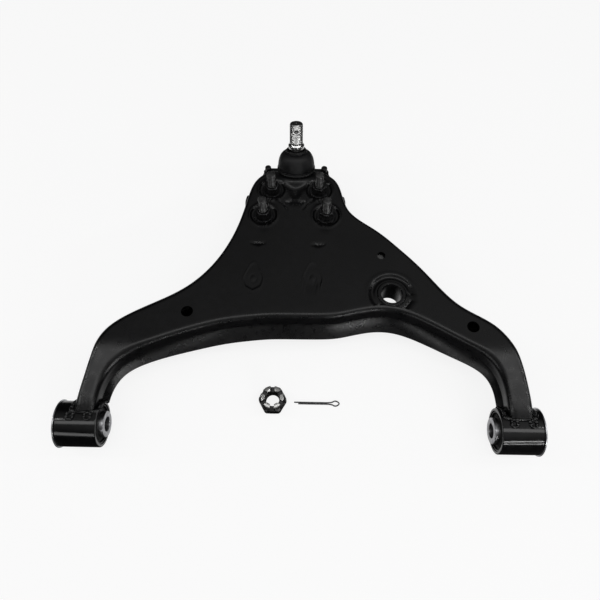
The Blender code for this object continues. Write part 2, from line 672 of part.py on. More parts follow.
# ---------------------------------------------------------------- ball stud
neck_join = math.acos(NECK_RADIUS / BALL_RADIUS)
ball_arc = [(BALL_RADIUS * math.cos(a), BALL_RADIUS * math.sin(a))
            for a in np.linspace(neck_join, math.radians(-62), 12)]
end_chamfer = 1.2
stud_profile = [
    (0.0, STUD_LENGTH),
    (THREAD_RADIUS - end_chamfer, STUD_LENGTH),
    (THREAD_RADIUS, STUD_LENGTH - end_chamfer),
    (THREAD_RADIUS, COLLAR_HEIGHT + 2.0),
    (COLLAR_RADIUS, COLLAR_HEIGHT),
    (COLLAR_RADIUS, COLLAR_HEIGHT - 3.0),
    (NECK_RADIUS + 1.4, COLLAR_HEIGHT - 12.0),
    (NECK_RADIUS, COLLAR_HEIGHT - 30.0),
] + ball_arc + [(0.0, ball_arc[-1][1])]
stud = place("ball_stud", turned("ball_stud", stud_profile, 28), M_STUD, joint)
cotter = helper("cotter_hole", cylinder("cotter_hole", COTTER_HOLE_RADIUS, -20, 20, 12), joint,
                at=(0, 0, COTTER_HOLE_HEIGHT), turn=(90, 0, 0))
join_or_cut(stud, cotter)

# ---------------------------------------------------------------- dust boot and its two rings
base = SEAT_TO_BALL + GAP
top = base + BOOT_HEIGHT


def bulge_line(shrink, steps=6):
    """Side of the boot from its base up to its lip: a quarter of a rounded dome."""
    found = []
    for a in np.linspace(0, math.pi / 2, steps):
        radius = BOOT_LIP - 1.5 + (BOOT_BULGE - BOOT_LIP + 1.5) * math.cos(a) ** 0.8
        found.append((radius - shrink, base + 5.5 + (BOOT_HEIGHT - 9.0) * math.sin(a)))
    return found


lip_bore = NECK_RADIUS + 1.4 + 2 * GAP
boot_profile = (
    [(BOOT_BASE, base), (BOOT_BASE - BOOT_WALL - 6.0, base), (BOOT_BASE - BOOT_WALL - 4.0, base + 2)]
    + bulge_line(BOOT_WALL)[:-1]
    + [(lip_bore, top - 5.5), (lip_bore, top), (BOOT_LIP - 3.0, top), (BOOT_LIP - 3.0, top - 2.6)]
    + bulge_line(0.0)[::-1]
    + [(BOOT_BASE - 2.2, base + 2.2), (BOOT_BASE, base + 2.2)]
)
place("dust_boot", turned("dust_boot", boot_profile[::-1], 32), M_BOOT, joint)
place("boot_ring_lower", turned("boot_ring_lower", ring_profile(
    BOOT_BASE - 1.7, BOOT_BASE + 0.3, base + 2.6, base + 4.6, 0.5), 32), M_RING, joint)
place("boot_ring_upper", turned("boot_ring_upper", ring_profile(
    BOOT_LIP - 2.6, BOOT_LIP + 0.4, top - 2.3, top, 0.7), 32), M_RING, joint)

# ---------------------------------------------------------------- bolts, washers and nuts
washer_low = dish_floor + GAP
nut_low = washer_low + WASHER_THICKNESS + GAP
head_top = flange_low - GAP
BOLT_TOP = nut_low + NUT_HEIGHT + BOLT_STAND_OUT
bolt_profile = [
    (0.0, BOLT_TOP),
    (BOLT_RADIUS - 1.2, BOLT_TOP),
    (BOLT_RADIUS, BOLT_TOP - 1.2),
    (BOLT_RADIUS, head_top - 1.0),
    (0.0, head_top - 1.0),
]
bolt_shank = turned("bolt_shank", bolt_profile, 20)
bolt_head = prism("bolt_head", hexagon(HEX_ACROSS_FLATS), head_top - BOLT_HEAD, head_top)
nut_blank = prism("nut_blank", hexagon(HEX_ACROSS_FLATS), nut_low, nut_low + NUT_HEIGHT)
washer_shape = turned("washer_shape", ring_profile(
    BOLT_RADIUS + GAP, WASHER_RADIUS, washer_low, washer_low + WASHER_THICKNESS, 0.4), 20)
for name, x, y in bolts:
    bolt = place(f"bolt_{name}", bolt_head.copy(), M_BOLT, at=(x, y, 0), smooth=False)
    join_or_cut(bolt, helper(f"shank_{name}", bolt_shank.copy(), at=(x, y, 0)), "UNION")
    place(f"washer_{name}", washer_shape.copy(), M_WASHER, at=(x, y, 0))
    nut = place(f"nut_{name}", nut_blank.copy(), M_NUT, at=(x, y, 0), smooth=False)
    bore = cylinder(f"nut_bore_{name}", BOLT_RADIUS + GAP, nut_low - 5, nut_low + 25, 20)
    join_or_cut(nut, helper(f"nut_bore_{name}", bore, at=(x, y, 0)))

# ---------------------------------------------------------------- bush tubes and bushes
half = TUBE_LENGTH / 2
sleeve_outer = TUBE_RADIUS - TUBE_WALL - GAP
sleeve_inner = sleeve_outer - OUTER_SLEEVE_WALL
rubber_outer = sleeve_inner - GAP
rubber_inner = INNER_SLEEVE_RADIUS + GAP
for side, sign in (("left", -1), ("right", 1)):
    at = (sign * BUSH_X, 0, 0)
    # local +X points outboard on the right side, so the left side is turned round
    facing = (0, 0, 0) if sign > 0 else (0, 0, 180)
    place(f"bush_tube_{side}", turned(f"bush_tube_{side}", ring_profile(
        TUBE_RADIUS - TUBE_WALL, TUBE_RADIUS, -half, half, 0.6), TWIST_STEPS, "X"),
        M_TUBE, at=at, turn=facing)
    flange_in = half + GAP
    sleeve = [
        (OUTER_FLANGE_RADIUS, flange_in + OUTER_FLANGE_THICKNESS),
        (OUTER_FLANGE_RADIUS, flange_in),
        (sleeve_outer, flange_in),
        (sleeve_outer, -half + 1.0),
        (sleeve_inner, -half + 1.0),
        (sleeve_inner, flange_in + OUTER_FLANGE_THICKNESS),
    ]
    place(f"bush_sleeve_{side}", turned(f"bush_sleeve_{side}", sleeve, TWIST_STEPS, "X"),
          M_FLANGE, at=at, turn=facing)
    place(f"bush_rubber_{side}", turned(f"bush_rubber_{side}", [
        (rubber_outer, half - RUBBER_RECESS), (rubber_outer, -half + RUBBER_RECESS),
        (rubber_inner, -half + RUBBER_RECESS - 1.5), (rubber_inner, half - RUBBER_RECESS + 1.5)],
        TWIST_STEPS, "X"), M_RUBBER, at=at, turn=facing)
    reach = half + INNER_SLEEVE_STAND_OUT
    place(f"bush_inner_{side}", turned(f"bush_inner_{side}", ring_profile(
        INNER_SLEEVE_BORE, INNER_SLEEVE_RADIUS, -reach, reach, 0.8), 32, "X"),
        M_SLEEVE, at=at, turn=facing)

# ---------------------------------------------------------------- loose castle nut and split pin
castle = place("castle_nut", prism("castle_nut", hexagon(CASTLE_ACROSS_FLATS), 0.0,
                                   CASTLE_HEIGHT - CASTLE_SLOT_DEPTH), M_CASTLE, table,
               at=(*CASTLE_PLACE, 0), smooth=False)
crown = helper("crown", cylinder("crown", CASTLE_ACROSS_FLATS / 2 - 0.6, 2.0, CASTLE_HEIGHT, 36),
               table, at=(*CASTLE_PLACE, 0))
join_or_cut(castle, crown, "UNION")
castle_bore = helper("castle_bore", cylinder("castle_bore", CASTLE_BORE, -5, CASTLE_HEIGHT + 5, 24),
                     table, at=(*CASTLE_PLACE, 0))
join_or_cut(castle, castle_bore)
for k in range(3):
    slot = prism(f"castle_slot_{k}", [(-30, -CASTLE_SLOT_WIDTH / 2), (30, -CASTLE_SLOT_WIDTH / 2),
                                      (30, CASTLE_SLOT_WIDTH / 2), (-30, CASTLE_SLOT_WIDTH / 2)],
                 CASTLE_HEIGHT - CASTLE_SLOT_DEPTH, CASTLE_HEIGHT + 5)
    join_or_cut(castle, helper(f"castle_slot_{k}", slot, table, at=(*CASTLE_PLACE, 0),
                               turn=(0, 0, 60 * k + 30)))

leg_side = PIN_WIRE + 0.1
eye_long, eye_wide = PIN_EYE
eye_start = PIN_LENGTH - eye_long
pin_path = [(0.0, leg_side), (eye_start * 0.5, leg_side), (eye_start - 1.0, leg_side)]
for a in np.linspace(150, -150, 15):
    pin_path.append((eye_start + eye_long * 0.55 + (eye_long * 0.45 - PIN_WIRE)
                     * math.cos(math.radians(a)),
                     (eye_wide / 2 - PIN_WIRE) * math.sin(math.radians(a))))
pin_path += [(eye_start - 1.0, -leg_side), (eye_start * 0.5, -leg_side), (5.0, -leg_side)]
curve = bpy.data.curves.new("split_pin", "CURVE")
curve.dimensions = "3D"
curve.bevel_depth = PIN_WIRE * MM
curve.bevel_resolution = 2
curve.use_fill_caps = True
strand = curve.splines.new("POLY")
strand.points.add(len(pin_path) - 1)
for point, (x, y) in zip(strand.points, pin_path):
    point.co = (x * MM, y * MM, PIN_WIRE * MM, 1.0)
curve.materials.append(M_PIN)
pin = bpy.data.objects.new("split_pin", curve)
scene.collection.objects.link(pin)
pin.parent = table
pin.location = Vector((*PIN_PLACE, 0.05)) * MM

# ---------------------------------------------------------------- laying the arm down
# The tilt brings the housing's lowest rim point level with the undersides of the bush flanges.
rim = HOUSING_RADIUS
rim_angles = np.linspace(0, 2 * math.pi, 721)
low_y = ball_centre.y + cover_low * math.sin(lean) + rim * np.sin(rim_angles) * math.cos(lean)
low_z = ball_centre.z + cover_low * math.cos(lean) - rim * np.sin(rim_angles) * math.sin(lean)
rim_reach = np.hypot(low_y, low_z)
tilts = np.arctan2(low_z, low_y) + np.arcsin(OUTER_FLANGE_RADIUS / rim_reach)
tilt = float(tilts.min())
arm.rotation_euler = (-tilt, 0.0, 0.0)
arm.location = (0.0, 0.0, (OUTER_FLANGE_RADIUS + 0.05) * MM)

bpy.context.view_layer.update()
graph = bpy.context.evaluated_depsgraph_get()
corners = []
for obj in scene.objects:
    if obj.type in ("MESH", "CURVE") and not obj.hide_render:
        seen = obj.evaluated_get(graph).to_mesh()
        spots = np.empty(len(seen.vertices) * 3, np.float32)
        seen.vertices.foreach_get("co", spots)
        matrix = np.array(obj.matrix_world)
        spots = spots.reshape(-1, 3) @ matrix[:3, :3].T + matrix[:3, 3]
        corners.append([spots.min(axis=0), spots.max(axis=0)])
corners = np.array(corners)
low, high = corners[:, 0].min(axis=0), corners[:, 1].max(axis=0)
shift = Vector((-(low[0] + high[0]) / 2, -(low[1] + high[1]) / 2, -low[2]))
arm.location = arm.location + shift
table.location = table.location + Vector((shift.x, shift.y, 0.0))
bpy.context.view_layer.update()
print(f"tilt {math.degrees(tilt):.3f} degrees, shift {tuple(round(v * 1000, 3) for v in shift)} mm")
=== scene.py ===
# %% [markdown]
# # A pressed steel control arm
#
# This lesson dresses a control arm, the wide steel wishbone that joins a car's wheel to its body.
# The imported CAD model is the frame: it says where each piece is and how it moves. Every visible
# piece is made again here as a fine surface, worked out with numpy from the same sizes, and all but
# the two rings of the dust boot ride on the body of the piece that they stand for.

# %% Load the frame
import json
import math

import bmesh
import bpy
import numpy as np
from mathutils import Matrix, Vector


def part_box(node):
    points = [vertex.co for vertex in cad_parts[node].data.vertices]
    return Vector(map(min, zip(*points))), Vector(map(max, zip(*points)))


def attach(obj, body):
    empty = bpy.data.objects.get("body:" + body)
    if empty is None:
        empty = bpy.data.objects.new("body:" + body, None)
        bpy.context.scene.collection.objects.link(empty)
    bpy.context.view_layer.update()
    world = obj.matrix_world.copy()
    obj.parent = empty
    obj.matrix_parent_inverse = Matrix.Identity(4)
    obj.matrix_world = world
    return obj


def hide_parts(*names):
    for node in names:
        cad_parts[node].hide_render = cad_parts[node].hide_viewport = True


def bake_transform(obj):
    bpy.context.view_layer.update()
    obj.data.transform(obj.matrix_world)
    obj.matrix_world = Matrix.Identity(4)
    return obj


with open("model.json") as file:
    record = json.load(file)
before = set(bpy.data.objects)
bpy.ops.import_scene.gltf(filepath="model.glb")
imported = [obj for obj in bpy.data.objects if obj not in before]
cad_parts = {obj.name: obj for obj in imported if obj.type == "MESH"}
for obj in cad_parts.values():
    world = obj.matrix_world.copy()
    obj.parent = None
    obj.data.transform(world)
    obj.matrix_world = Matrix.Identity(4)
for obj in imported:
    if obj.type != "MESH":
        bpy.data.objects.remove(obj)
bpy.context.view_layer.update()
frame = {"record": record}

MM = 0.001

# %% [markdown]
# ## The arm's own frame
#
# The arm lies tilted on the table, resting on its bushes and on the ball joint. It is far easier
# to draw it in a frame of its own, in millimetres: X along the bushes, Y towards the ball joint
# and Z square to the flat plate. Two numbers place that frame in the world, and both come from
# the CAD: the middle of the bushes, and the lean of the ball joint's axis.

# %% From the arm's frame to the world
JOINT_LEAN = 20.0            # degrees between the stud and the plate's normal
JOINT_X, JOINT_Y, JOINT_Z = -10.0, 352.0, 44.0
SEAT_TO_BALL = 14.0

spin = next(j for j in frame["record"]["behaviour"]["joints"] if j["name"] == "stud_spin")
TILT = math.atan2(spin["axis"][1], spin["axis"][2]) - math.radians(JOINT_LEAN)
bush_low, bush_high = (np.array(c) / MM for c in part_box("bush_inner_right"))
AXIS = (bush_low + bush_high) / 2
ARM = Matrix.Translation((0.0, AXIS[1], AXIS[2])) @ Matrix.Rotation(-TILT, 4, "X")

lean = math.radians(JOINT_LEAN)
STUD_AXIS = Vector((0.0, math.sin(lean), math.cos(lean)))
BALL = Vector((JOINT_X, JOINT_Y, JOINT_Z)) - STUD_AXIS * SEAT_TO_BALL
JOINT = ARM @ Matrix.Translation(BALL) @ Matrix.Rotation(-lean, 4, "X")


def beside(matrix, x, y, z=0.0, turn=0.0, axis="Z"):
    """The matrix of a frame moved by x, y, z millimetres and turned by degrees about an axis."""
    return matrix @ Matrix.Translation((x, y, z)) @ Matrix.Rotation(math.radians(turn), 4, axis)


print(f"tilt {math.degrees(TILT):.3f} degrees, bush axis at {AXIS.round(3).tolist()} mm")

# %% [markdown]
# ## Turning arrays into meshes
#
# Every piece is a grid of points: rows along one parameter and columns along the other. One
# function joins the grid with quads, closes it where it meets itself, and hands it to Blender.
# Points that fall together at a pole are merged, and the faces are turned to look outwards.


# %% Grid surfaces
def grid_faces(rows, columns, wrap_rows=False, wrap_columns=False, start=0):
    """Quads between neighbouring grid points: corner (i, j) joins (i+1, j), (i+1, j+1), (i, j+1).
    A wrapped direction also joins its last line to its first."""
    index = np.arange(rows * columns).reshape(rows, columns) + start
    if wrap_rows:
        index = np.concatenate([index, index[:1]])
    if wrap_columns:
        index = np.concatenate([index, index[:, :1]], 1)
    corners = [index[:-1, :-1], index[1:, :-1], index[1:, 1:], index[:-1, 1:]]
    return np.stack(corners, -1).reshape(-1, 4)


def mesh_of(name, points, faces, weld=0.002):
    """A mesh in millimetres from arrays, with doubled points merged and faces looking outwards."""
    mesh = bpy.data.meshes.new(name)
    mesh.from_pydata(np.asarray(points, float).reshape(-1, 3), [], faces.tolist())
    bm = bmesh.new()
    bm.from_mesh(mesh)
    bmesh.ops.remove_doubles(bm, verts=bm.verts, dist=weld)
    bmesh.ops.recalc_face_normals(bm, faces=bm.faces)
    bm.to_mesh(mesh)
    bm.free()
    return mesh


def cut(mesh, cutter, operation="DIFFERENCE"):
    """Cuts one closed mesh by another, or joins them, and gives back the result as a mesh."""
    target = bpy.data.objects.new("target", mesh)
    other = bpy.data.objects.new("cutter", cutter)
    for obj in (target, other):
        bpy.context.scene.collection.objects.link(obj)
    step = target.modifiers.new("cut", "BOOLEAN")
    step.operation, step.object, step.solver = operation, other, "MANIFOLD"
    graph = bpy.context.evaluated_depsgraph_get()
    result = bpy.data.meshes.new_from_object(target.evaluated_get(graph))
    result.name = mesh.name
    for obj in (target, other):
        bpy.data.objects.remove(obj)
    if len(result.polygons) == 0:
        raise ValueError(f"{mesh.name}: the cut left nothing")
    return result


def piece(name, mesh, matrix, body, node, finish, sharp=35.0):
    """Puts a millimetre mesh in its place in the world, smooth except at sharp edges, and ties it
    to its body, its finish and the CAD node that it stands for."""
    mesh.transform(Matrix.Scale(MM, 4) @ matrix)
    mesh.name = name
    mesh.materials.clear()
    mesh.materials.append(finish)
    mesh.shade_smooth()
    mesh.set_sharp_from_angle(angle=math.radians(sharp))
    obj = bpy.data.objects.new(name, mesh)
    bpy.context.scene.collection.objects.link(obj)
    if body is not None:
        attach(obj, body)
    if node is not None:
        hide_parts(node)
    print(f"{name}: {len(mesh.polygons)} faces")
    return obj


# %% [markdown]
# ## Profiles, lathes and sweeps
#
# Most of the small pieces are turned on a lathe or rolled, so one function spins a profile of
# (radius, height) points. It can cut a screw thread while it spins, and it can limit the radius
# to a hexagon, which gives a nut its flats and the curved chamfers where cone and flats meet.


# %% Helpers for profiles
def smooth(t):
    """0 below 0, 1 above 1, and a level-ended cubic between: 3t² - 2t³."""
    t = np.clip(t, 0.0, 1.0)
    return t * t * (3.0 - 2.0 * t)


def mix(a, b, t):
    """From a at t = 0 to b at t = 1 in proportion: a + (b - a) t."""
    return a + (b - a) * t


def eased(points, radius, steps=4, closed=False):
    """Rounds each corner of an outline with a quadratic curve that starts and ends `radius` from
    the corner, or a third of the shorter side if that is less."""
    points = np.asarray(points, float)
    count = len(points)
    radii = np.broadcast_to(radius, count)
    t = np.linspace(0, 1, steps)[:, None]
    out = []
    for k in range(count):
        here, before, after = points[k], points[k - 1], points[(k + 1) % count]
        if radii[k] == 0.0 or (not closed and k in (0, count - 1)):
            out.append(here[None])
            continue
        back, on = before - here, after - here
        reach = min(radii[k], np.linalg.norm(back) * 0.45, np.linalg.norm(on) * 0.45)
        p = here + back / np.linalg.norm(back) * reach
        q = here + on / np.linalg.norm(on) * reach
        out.append((1 - t) ** 2 * p + 2 * t * (1 - t) * here + t**2 * q)
    return np.concatenate(out)


def hexagon(across_flats, sides, corner=0.35):
    """Radius of a hexagon at each column: half the flats' distance over the cosine of the angle
    from the nearest flat's middle, with its corners taken off by `corner` millimetres."""
    angle = np.arange(sides) * 2 * math.pi / sides
    off = (angle + math.pi / 6) % (math.pi / 3) - math.pi / 6
    off = math.pi / 6 - np.abs(off)
    radius = across_flats / 2 / np.cos(off)
    return np.minimum(radius, across_flats / math.sqrt(3) - corner)


def lathe(name, profile, sides=96, thread=None, limit=None):
    """Spins (radius, height) points: x = r cos a, y = r sin a, z = h.
    thread = (low, high, pitch, depth) takes depth times a zigzag of height over pitch, less the
    turn's angle, from the radius. A profile that starts and ends on the axis is closed there, and
    any other is a loop."""
    profile = np.asarray(profile, float)
    closed = not (profile[0, 0] == 0.0 and profile[-1, 0] == 0.0)
    if thread:
        low, high, pitch, depth = thread
        dense = [profile[:1]]
        ends = np.concatenate([profile[1:], profile[:1]]) if closed else profile[1:]
        for a, b in zip(profile, ends):
            inside = min(a[1], b[1]) < high and max(a[1], b[1]) > low
            steps = max(1, int(abs(b[1] - a[1]) / pitch * 8)) if inside else 1
            dense.append(a + (b - a) * (np.arange(1, steps + 1) / steps)[:, None])
        profile = np.concatenate(dense)[:-1] if closed else np.concatenate(dense)
    angle = np.arange(sides) * 2 * math.pi / sides
    radius = np.repeat(profile[:, :1], sides, 1)
    height = np.repeat(profile[:, 1:2], sides, 1)
    if limit is not None:
        radius = np.minimum(radius, limit)
    if thread:
        turn = (height / pitch - angle / (2 * math.pi)) % 1.0
        zigzag = np.abs(2 * turn - 1)
        fade = smooth((height - low) / pitch) * smooth((high - height) / (0.6 * pitch))
        radius = radius - depth * zigzag * fade * (radius > 0)
    points = np.stack([radius * np.cos(angle), radius * np.sin(angle), height], -1)
    return mesh_of(name, points, grid_faces(*radius.shape, closed, True))


def sweep(name, path, radius, sides=12, up=(0, 0, 1), squeeze=1.0, wrap=False):
    """Carries a circle along a path: point = path + r cos a · side + r sin a · up'. The radius may
    change along the path, and both ends close to a point."""
    path = np.asarray(path, float)
    radius = np.broadcast_to(radius, len(path))[:, None, None]
    if wrap:
        run = np.roll(path, -1, 0) - np.roll(path, 1, 0)
    else:
        run = np.gradient(path, axis=0)
    run /= np.linalg.norm(run, axis=1)[:, None]
    up = np.broadcast_to(np.asarray(up, float), path.shape)
    side = np.cross(up, run)
    side /= np.linalg.norm(side, axis=1)[:, None]
    top = np.cross(run, side)
    angle = (np.arange(sides) * 2 * math.pi / sides)[None, :, None]
    ring = radius * (np.cos(angle) * side[:, None] + squeeze * np.sin(angle) * top[:, None])
    points = path[:, None] + ring
    if not wrap:
        first = np.repeat(path[:1, None], sides, 1)
        last = np.repeat(path[-1:, None], sides, 1)
        points = np.concatenate([first, points, last])
    return mesh_of(name, points, grid_faces(*points.shape[:2], wrap, True))


print("a corner of an M12 nut is", hexagon(18.0, 144).max().round(2), "mm from its axis")

# %% [markdown]
# ## Finishes
#
# The arm is dipped in black electro-coat, a thin even paint that follows every press mark. Around
# it are bare turned steel, zinc, black oxide and two kinds of rubber. Each finish is a small node
# tree on Object coordinates, which are metres here, so a noise scale of 1000 is a grain of about
# a millimetre. Colours are written as they look on a screen and turned to linear light once.


# %% Node helpers
def linear(code):
    """A screen colour such as "1c1c1d" as linear light: c/12.92 near black, and otherwise
    ((c + 0.055) / 1.055) to the power 2.4."""
    value = np.array([int(code[k:k + 2], 16) for k in (0, 2, 4)]) / 255
    value = np.where(value <= 0.04045, value / 12.92, ((value + 0.055) / 1.055) ** 2.4)
    return (*value.tolist(), 1.0)


def per_mm(size):
    """Texture scale that gives features of this many millimetres."""
    return 1.0 / (size * MM)


def add(tree, kind, inputs=None, **settings):
    """Adds a node, sets its properties, and sets or links each of its inputs."""
    made = tree.nodes.new("ShaderNode" + kind)
    for name, value in settings.items():
        setattr(made, name, value)
    for name, value in (inputs or {}).items():
        if isinstance(value, bpy.types.NodeSocket):
            tree.links.new(value, made.inputs[name])
        else:
            made.inputs[name].default_value = value
    return made


def start(name, colour, roughness, metallic=0.0, **fixed):
    """A new material: gives its tree, its shader and its Object coordinates."""
    mat = bpy.data.materials.new(name)
    mat.use_nodes = True
    mat.diffuse_color = linear(colour)
    tree = mat.node_tree
    shader = tree.nodes["Principled BSDF"]
    shader.inputs["Base Color"].default_value = linear(colour)
    shader.inputs["Roughness"].default_value = roughness
    shader.inputs["Metallic"].default_value = metallic
    for socket, value in fixed.items():
        shader.inputs[socket.replace("_", " ")].default_value = value
    where = add(tree, "TexCoord").outputs["Object"]
    return mat, tree, shader, where


def between(tree, value, low, high, out_low, out_high):
    """Maps a value from one range to another, held at both ends."""
    return add(tree, "MapRange", {"Value": value, "From Min": low, "From Max": high,
                                  "To Min": out_low, "To Max": out_high}).outputs["Result"]


def two_tone(tree, amount, dark, light):
    """A colour that runs from dark to light as amount goes from 0 to 1."""
    made = add(tree, "Mix", {0: amount, 6: linear(dark), 7: linear(light)}, data_type="RGBA")
    return made.outputs[2]


print("node helpers ready")

# %% [markdown]
# ### Black electro-coat
#
# Common name: cathodic electro-coat, a baked epoxy film about 20 micrometres thick. It has the
# low sheen of satin paint. Up close it has a faint orange peel a millimetre or two across, the
# slow waves of a deep-drawn sheet under it, and dust and rub marks that change its gloss more
# than its colour. Three noises do that: slow, middling and fine.


# %% Electro-coat on the pressings, the tubes and the forging
def coat(name, tone, gloss, peel_mm, peel_depth, wave_depth, specular=0.35):
    """Black coat: tone is (dark, light), gloss is (low, high) roughness."""
    mat, tree, shader, where = start(name, tone[0], gloss[0], Specular_IOR_Level=specular)
    slow = add(tree, "TexNoise", {"Vector": where, "Scale": per_mm(70), "Detail": 3.0}).outputs[0]
    dust = add(tree, "TexNoise", {"Vector": where, "Scale": per_mm(9), "Detail": 6.0,
                                  "Roughness": 0.62}).outputs[0]
    peel = add(tree, "TexNoise", {"Vector": where, "Scale": per_mm(peel_mm),
                                  "Detail": 2.0}).outputs[0]
    marks = add(tree, "Math", {0: slow, 1: dust}, operation="MULTIPLY").outputs[0]
    shade = between(tree, marks, 0.16, 0.36, 0.0, 1.0)
    tree.links.new(two_tone(tree, shade, *tone), shader.inputs["Base Color"])
    rough = between(tree, dust, 0.3, 0.72, *gloss)
    tree.links.new(rough, shader.inputs["Roughness"])
    waves = add(tree, "Bump", {"Height": slow, "Strength": 1.0, "Distance": wave_depth * MM})
    skin = add(tree, "Bump", {"Height": peel, "Strength": 1.0, "Distance": peel_depth * MM,
                              "Normal": waves.outputs[0]})
    tree.links.new(skin.outputs[0], shader.inputs["Normal"])
    return mat


# The pressings: a deep, even satin that lights up only where a bend faces a lamp. The tubes and
# beads: the same paint on smoother metal, so lines in them are crisp. The forging: scale under
# the paint breaks the shine up. Peel is drawn at 1 to 2 mm, a little coarser than the real one.
PRESSING = coat("electro_coated_pressing", ("070708", "0e0e0f"), (0.24, 0.36), 1.4, 0.01, 0.16, 0.4)
LOWER = coat("electro_coated_lower_pressing", ("080809", "0f0f10"), (0.24, 0.36), 1.4, 0.01, 0.2, 0.4)
TUBE = coat("electro_coated_tube", ("060607", "0d0d0e"), (0.1, 0.18), 1.8, 0.006, 0.06, 0.5)
WELD = coat("electro_coated_weld", ("060607", "0f0f10"), (0.12, 0.26), 1.1, 0.05, 0.3, 0.55)
FORGING = coat("electro_coated_forging", ("0a0a0b", "141415"), (0.34, 0.5), 0.9, 0.08, 0.5, 0.35)
LINK = coat("electro_coated_machined_sleeve", ("070708", "0e0e0f"), (0.26, 0.38), 1.2, 0.01, 0.1, 0.4)
print("coats:", ", ".join(mat.name for mat in (PRESSING, LOWER, TUBE, WELD, FORGING, LINK)))

# %% [markdown]
# ### Bare and plated steel
#
# The bush cores and the stud are turned steel with a bright zinc plate. A lathe leaves rings
# round the axis, so the pattern has to depend only on the distance from that axis. The position
# is measured from the axis, its length feeds a one-dimensional noise, and the rings come out
# round on the end faces and straight along the barrel.


# %% Turned, plated and oxidised steel
def steel(name, tone, gloss, axis_mm=None, along=None, ring_mm=0.6, depth=0.012, metallic=1.0,
          part=None):
    """Metal with tool rings: axis_mm is a point on the axis and along its direction, in the
    world. The rings follow radius plus height along the axis. part is (axis number, first and
    last distance in mm, colour): past that distance from the middle the colour takes over."""
    mat, tree, shader, where = start(name, tone[0], gloss[0], metallic)
    stain = add(tree, "TexNoise", {"Vector": where, "Scale": per_mm(5), "Detail": 5.0}).outputs[0]
    grain = add(tree, "TexNoise", {"Vector": where, "Scale": per_mm(0.7), "Detail": 3.0}).outputs[0]
    pattern = grain
    if axis_mm is not None:
        from_axis = add(tree, "VectorMath", {0: where, 1: [v * MM for v in axis_mm]},
                        operation="SUBTRACT").outputs[0]
        height = add(tree, "VectorMath", {0: from_axis, 1: along},
                     operation="DOT_PRODUCT").outputs["Value"]
        across = add(tree, "VectorMath", {0: from_axis, 1: along},
                     operation="CROSS_PRODUCT").outputs[0]
        radius = add(tree, "VectorMath", {0: across}, operation="LENGTH").outputs["Value"]
        place = add(tree, "Math", {0: radius, 1: height}, operation="ADD").outputs[0]
        rings = add(tree, "TexNoise", {"W": place, "Scale": per_mm(ring_mm), "Detail": 3.0},
                    noise_dimensions="1D").outputs[0]
        pattern = add(tree, "Mix", {0: 0.35, 2: rings, 3: grain}).outputs[0]
    colour = two_tone(tree, between(tree, stain, 0.35, 0.68, 0, 1), *tone)
    if part is not None:
        axis, first, last, other = part
        level = add(tree, "Math", {0: add(tree, "SeparateXYZ", {0: where}).outputs[axis]},
                    operation="ABSOLUTE").outputs[0]
        share = between(tree, level, first * MM, last * MM, 0.0, 1.0)
        colour = add(tree, "Mix", {0: share, 6: colour, 7: linear(other)},
                     data_type="RGBA").outputs[2]
    tree.links.new(colour, shader.inputs["Base Color"])
    tree.links.new(between(tree, pattern, 0.3, 0.7, *gloss), shader.inputs["Roughness"])
    skin = add(tree, "Bump", {"Height": pattern, "Strength": 1.0, "Distance": depth * MM})
    tree.links.new(skin.outputs[0], shader.inputs["Normal"])
    return mat


# Cores and stud: bright and streaked by the lathe. The outer sleeve is bright only on its turned
# rim, past 270 mm from the middle, because the rest is painted with the arm. Bolts, nuts and
# washers: dark oxide with a dull metal shine. The castle nut's crown top is painted pale: a painted
# highlight.
# Tool rings are really 0.1 mm apart, and are drawn 0.6 to 1.1 mm apart so that they show.
BUSH_LINE = dict(axis_mm=tuple(AXIS), along=(1.0, 0.0, 0.0))
JOINT_LINE = dict(axis_mm=tuple(JOINT.translation), along=tuple(ARM.to_3x3() @ STUD_AXIS))
CORE = steel("turned_bright_steel", ("868689", "b0b0b2"), (0.24, 0.42), **BUSH_LINE)
FLANGE = steel("pressed_zinc_plate", ("1b1b1c", "2a2a2b"), (0.22, 0.38),
               part=(0, 270.4, 270.9, "b9babc"), **BUSH_LINE)
STUD = steel("zinc_plated_stud", ("a5a5a5", "dcdcda"), (0.16, 0.34), ring_mm=1.1, depth=0.018,
             **JOINT_LINE)
BOLT = steel("phosphated_bolt_steel", ("484848", "747474"), (0.28, 0.44))
NUT = steel("black_oxide_nut", ("242425", "424243"), (0.2, 0.34), metallic=0.8)
WASHER = steel("black_oxide_washer", ("1b1b1c", "333334"), (0.2, 0.34), metallic=0.8)
# the pale colour past 21 mm up the castle nut is a painted highlight on its crown top
CASTLE = steel("oiled_castle_nut_steel", ("3a3a3a", "5e5e5e"), (0.26, 0.42), depth=0.02,
               part=(2, 20.9, 21.5, "c4c4c2"))
WIRE = steel("drawn_pin_wire", ("5c5c5d", "7c7c7d"), (0.28, 0.44))
SPRING = steel("black_spring_wire", ("1d1d1e", "2c2c2d"), (0.3, 0.45), metallic=0.7)
print("stud rings run round", [round(v, 3) for v in JOINT_LINE["along"]])

# %% [markdown]
# ### Rubber and polymer
#
# Both rubbers are black filled with soot. The boot is smooth from its mould with a dull bloom of
# wax, and the bush rubber is coarser. The bearing seat is a pale acetal that nobody sees until
# the joint is cut open.


